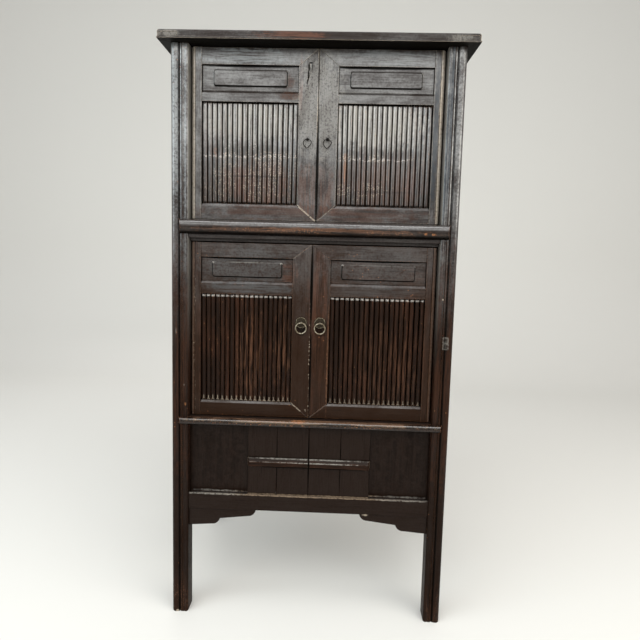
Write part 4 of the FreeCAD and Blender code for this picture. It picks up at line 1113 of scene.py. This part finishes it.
def seams(work):
    """Edges inside flat regions that have no holes, which may go."""
    seen = set()
    found = []
    for seed in work.faces:
        if seed in seen:
            continue
        seen.add(seed)
        region = [seed]
        inner = {}
        for face in region:
            for edge in filter(folds_flat, face.edges):
                inner[edge] = True
                fresh = [other for other in edge.link_faces if other not in seen]
                seen.update(fresh)
                region.extend(fresh)
        points = {point for face in region for point in face.verts}
        edges = {edge for face in region for edge in face.edges}
        if len(points) - len(edges) + len(region) == 1:
            found.extend(inner)
    return found


# %% [markdown]
# ## Damage and fine grooves
# The picture shows a gouge in the upper left door, a crack in a sliding board, a notch in a bracket, and a
# fine groove beside the round edge of the posts and the pivot stiles. Paint alone would stay flat when the
# light moves, so they are cut: the damage as pockets with sloping sides, the grooves by three cuts of which
# the middle one is pressed in.

# %% Pockets
CUTTER_PROUD = 2
GOUGE = ((-20, 1725), (-15, 1716), (-17, 1701), (-22, 1686), (-29, 1667), (-27, 1690), (-26, 1714))
CRACK = ((-103.8, 424), (-102.4, 424), (-101.8, 448), (-102.8, 474), (-103.6, 450))
NOTCH = ((304, 301), (305, 309), (308, 311), (311, 308), (312, 301))
DAMAGE = {
    "upper_left_door_meeting_stile": dict(outline=GOUGE, front=-288.5, depth=3, narrow=0.5),
    "left_sliding_boards": dict(outline=CRACK, front=-294, depth=5, narrow=0.6),
    "right_bracket": dict(outline=NOTCH, front=-299, depth=30, narrow=1.0),
}


def object_from(work, name):
    """New object with a finished mesh."""
    mesh = bpy.data.meshes.new(name)
    work.to_mesh(mesh)
    work.free()
    return put(name, mesh)


def cutter_for(outline, front, depth, narrow):
    """Body of a pocket with sloping sides; all its sizes are in millimetres."""
    centre = sum((Vector((x, z)) for x, z in outline), Vector((0, 0))) / len(outline)
    work = bmesh.new()
    rings = []
    for level, scale in ((front - CUTTER_PROUD, 1.0), (front, 1.0), (front + depth, narrow)):
        spots = [centre + (Vector(spot) - centre) * scale for spot in outline]
        rings.append([work.verts.new((x * MM, level * MM, z * MM)) for x, z in spots])
    for near, far in zip(rings, rings[1:]):
        for index in range(len(outline)):
            after = (index + 1) % len(outline)
            work.faces.new((near[index], near[after], far[after], far[index]))
    work.faces.new(rings[0])
    work.faces.new(rings[-1])
    bmesh.ops.recalc_face_normals(work, faces=work.faces)
    return object_from(work, "cutter")


def carve(piece, pocket):
    """Cut a pocket into the front of a piece."""
    cutter = cutter_for(**pocket)
    knife = piece.modifiers.new("knife", "BOOLEAN")
    knife.operation = "DIFFERENCE"
    knife.object = cutter
    graph = bpy.context.evaluated_depsgraph_get()
    piece.data = bpy.data.meshes.new_from_object(piece.evaluated_get(graph))
    piece.modifiers.clear()
    bpy.data.objects.remove(cutter)


# %% Fine grooves
QUIRK_DEPTH = 1.2 * MM
DOOR_FRONT = -0.2875
POST_FRONT = -0.302


def cut_quirk(work, side, middle, front):
    """Cut a fine groove down the front of a leaning piece, beside its round edge."""
    across = Vector((side, 0, POST_LEAN))
    for reach in (middle - QUIRK_HALF, middle, middle + QUIRK_HALF):
        everything = work.verts[:] + work.edges[:] + work.faces[:]
        spot = (side * reach, 0, 0)
        bmesh.ops.bisect_plane(work, geom=everything, plane_co=spot, plane_no=across, dist=WELD)
    walls = set()
    for point in work.verts:
        if abs(point.co.dot(across) - middle) < 2 * WELD and point.co.y < front:
            point.co.y += QUIRK_DEPTH
            walls.update(point.link_faces)
    for face in walls:
        face.smooth = False


# %% Softened copies of the nodes
SHARP = math.radians(32)
EDGE_SEGMENTS = 2
ROUND = 0.5


def hand_over(piece, node):
    """Let a piece stand for a node: it moves with the node's body, and the node is hidden."""
    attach(piece, body_of_node[node])
    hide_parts(node)


def softened(node, width):
    """Copy of a node with rounded edges, which stands for it."""
    work = bmesh.new()
    work.from_mesh(nodes[node].data)
    bmesh.ops.remove_doubles(work, verts=work.verts, dist=WELD)
    bmesh.ops.dissolve_limit(work, angle_limit=FLAT, verts=work.verts, edges=seams(work))
    sharp = [edge for edge in work.edges if len(edge.link_faces) == 2 and edge.calc_face_angle(0) > SHARP]
    rounding = dict(offset=width, segments=EDGE_SEGMENTS, profile=ROUND, affect="EDGES", clamp_overlap=True)
    bmesh.ops.bevel(work, geom=sharp, **rounding)
    vary_sticks(work, node.endswith("slats"))
    for face in work.faces:
        face.smooth = True
    side = -1 if "left" in node else 1
    if node.endswith("pivot_stile"):
        cut_quirk(work, side, QUIRK_AT, DOOR_FRONT)
    if node in ("front_left_post", "front_right_post"):
        cut_quirk(work, side, POST_QUIRK_AT, POST_FRONT)
    piece = object_from(work, node + "_dressed")
    if node in DAMAGE:
        carve(piece, DAMAGE[node])
    piece.modifiers.new("even_normals", "WEIGHTED_NORMAL").keep_sharp = True
    hand_over(piece, node)
    return piece


# %% [markdown]
# ## Dressing the wood
# Grain runs along a stick, so posts, stiles, slats and upright boards have it upwards, the side rails and
# the ends of the top have it from front to back, and the rest from left to right. A finish could be made
# for every piece. It is made once for each look and direction and then shared, which keeps the number of
# materials small.

# %% Grain directions and edge widths
UPRIGHT = ("post", "stile", "slats", "panels", "boards")
END_MEMBERS = ("top_left_member", "top_right_member")
EDGE_WIDTHS = {"slats": 0.5, "door_panel": 1.2, "batten": 1.0, "boards": 0.8, "post": 1.2, "member": 1.6}
USUAL_EDGE = 0.9


def grain_of(node):
    """Axis that the grain of a node runs along."""
    if node.endswith(UPRIGHT):
        return "Z"
    if "side_rails" in node or node in END_MEMBERS:
        return "Y"
    return "X"


def edge_of(node):
    """Width of the softened edge of a node, in metres."""
    widths = [width for ending, width in EDGE_WIDTHS.items() if node.endswith(ending)]
    return (widths[0] if widths else USUAL_EDGE) * MM


# %% Dress every wooden piece
METAL_SLOTS = ("worn_brass", "dark_iron")
finishes = {}


def finish_for(node):
    """Finish of a node for its slot and grain direction, made once."""
    along = grain_of(node)
    kind = slot_of_node[node]
    if node.endswith(("rail", "rails")) and kind == "inner_wood":
        kind = "base_lacquer"
    if node.endswith("batten"):
        kind = "batten_lacquer"
    key = f"{kind}_{along.lower()}"
    if key not in finishes:
        finishes[key] = lacquer(key, along, LOOKS[kind])
    return finishes[key]


def dress(piece, material):
    """Give a piece one material."""
    piece.data.materials.clear()
    piece.data.materials.append(material)


wooden = [node for node in sorted(nodes) if slot_of_node[node] not in METAL_SLOTS]
for node in wooden:
    dress(softened(node, edge_of(node)), finish_for(node))
print(len(wooden), "wooden pieces in", len(finishes), "finishes")

# %% [markdown]
# ## Metal
# The rings are brass that hands have kept clean at the front and that has gone brown in the corners. The
# plates behind them are nearly black, with a rubbed rim. The loops and eyes of the upper doors are dark
# iron. One recipe serves for all: a dull and a bright colour, and a mask that finds rubbed edges and clean
# patches.

# %% Metal finishes
METAL_PATCH = dict(scale=260, detail=4.0, rough=0.6)
METAL_PIT = dict(scale=1400, detail=3.0, rough=0.6)
METAL_EDGE = 1.5 * MM
METAL_CORNER = 3 * MM
METAL_CLEAN = (0.35, 0.65)
METAL_OPEN = (0.3, 0.8)
METALLIC = 0.9
METAL_RUB = 5.0
METAL_AGE = 0.6
PIT_DEPTH = 0.2 * MM
PIT_STRENGTH = 0.4


def metal(name, bright, dull, rough, share):
    """Old metal: dull in the hollows and in patches, bright where it is rubbed."""
    finish = WornFinish(name)
    patch = finish.noise(finish.place, **METAL_PATCH)
    pit = finish.noise(finish.place, **METAL_PIT)
    rubbed = finish.times(finish.edges(METAL_EDGE), METAL_RUB)
    clean = finish.step(finish.plus((patch, 0.9), (pit, 0.3), rubbed, share - METAL_AGE), *METAL_CLEAN)
    clean = finish.times(clean, finish.step(finish.hollows(METAL_CORNER), *METAL_OPEN))
    finish.set("Base Color", finish.mix(clean, dull, bright))
    finish.set("Metallic", METALLIC)
    finish.set("Roughness", finish.plus(rough + 0.2, (clean, -0.25), (pit, 0.1)))
    pitted = finish.plus((pit, 0.5), (patch, 0.5))
    inputs = {"Height": pitted, "Strength": PIT_STRENGTH, "Distance": PIT_DEPTH}
    finish.set("Normal", finish.add("ShaderNodeBump", inputs).outputs["Normal"])
    return finish.material


METALS = {
    "ring": metal("ring_brass", (0.58, 0.53, 0.42), (0.15, 0.12, 0.078), rough=0.3, share=0.36),
    "plate": metal("plate_brass", (0.34, 0.29, 0.20), (0.035, 0.027, 0.018), rough=0.4, share=0.0),
    "eye": metal("eye_brass", (0.60, 0.57, 0.48), (0.10, 0.08, 0.055), rough=0.3, share=0.2),
    "iron": metal("dark_iron", (0.10, 0.092, 0.085), (0.012, 0.010, 0.009), rough=0.5, share=0.0),
}
print("metals", list(METALS))

# %% [markdown]
# ## The wire loops
# The pulls of the upper doors are bent from thin wire, wide at the shoulders and drawn to a point below. A
# circle would look machined. A few points of the bend, taken from the picture and joined by a smooth closed
# line, carry a round section instead. The points are x and z from the eye, in millimetres.

# %% Bent wire
LOOP = ((0, 0), (-6.5, -2), (-11, -7.5), (-11.5, -14), (-7, -20), (-1, -25), (5.5, -19.5), (10.5, -12.5),
        (11, -6.5), (6, -1.8))
LOOP_RADIUS = 1.1
LOOP_STEPS = 6
LOOP_SIDES = 10


def eye_of(node):
    """Point at the top of a hanging wire, on its middle line."""
    low, high = corners([nodes[node].matrix_world @ point.co for point in nodes[node].data.vertices])
    wire = (high.y - low.y) / 2
    middle = (high + low) / 2
    return middle.x, middle.y, high.z - wire


def smooth_path(points):
    """Smooth closed line through points."""
    path = []
    count = len(points)
    for index in range(count):
        before, start, end, after = (Vector(points[(index + shift) % count]) for shift in (-1, 0, 1, 2))
        for step in range(LOOP_STEPS):
            t = step / LOOP_STEPS
            bend = (end - before) * t + (2 * before - 5 * start + 4 * end - after) * t ** 2
            bend += (3 * start - before - 3 * end + after) * t ** 3
            path.append(start + bend / 2)
    return path


def wire_loop(node):
    """Closed wire that hangs from its eye and stands for a node."""
    middle_x, middle_y, top = eye_of(node)
    path = smooth_path(LOOP)
    work = bmesh.new()
    rings = []
    for index, spot in enumerate(path):
        along = (path[(index + 1) % len(path)] - path[index - 1]).normalized()
        across = Vector((-along.y, along.x))
        ring = []
        for side in range(LOOP_SIDES):
            turn = 2 * math.pi * side / LOOP_SIDES
            flat = spot + across * LOOP_RADIUS * math.cos(turn)
            depth = middle_y + LOOP_RADIUS * MM * math.sin(turn)
            ring.append(work.verts.new((middle_x + flat.x * MM, depth, top + flat.y * MM)))
        rings.append(ring)
    for index, ring in enumerate(rings):
        before = rings[index - 1]
        for side in range(LOOP_SIDES):
            after = (side + 1) % LOOP_SIDES
            work.faces.new((before[side], before[after], ring[after], ring[side])).smooth = True
    bmesh.ops.recalc_face_normals(work, faces=work.faces)
    piece = object_from(work, node + "_dressed")
    hand_over(piece, node)
    return piece


# %% Dress every metal piece
metallic = [node for node in sorted(nodes) if slot_of_node[node] in METAL_SLOTS]
for node in metallic:
    kind = "iron" if slot_of_node[node] == "dark_iron" else node.rsplit("_", 1)[1]
    dress(wire_loop(node) if node.endswith("loop") else nodes[node], METALS[kind])
print(len(metallic), "metal pieces")
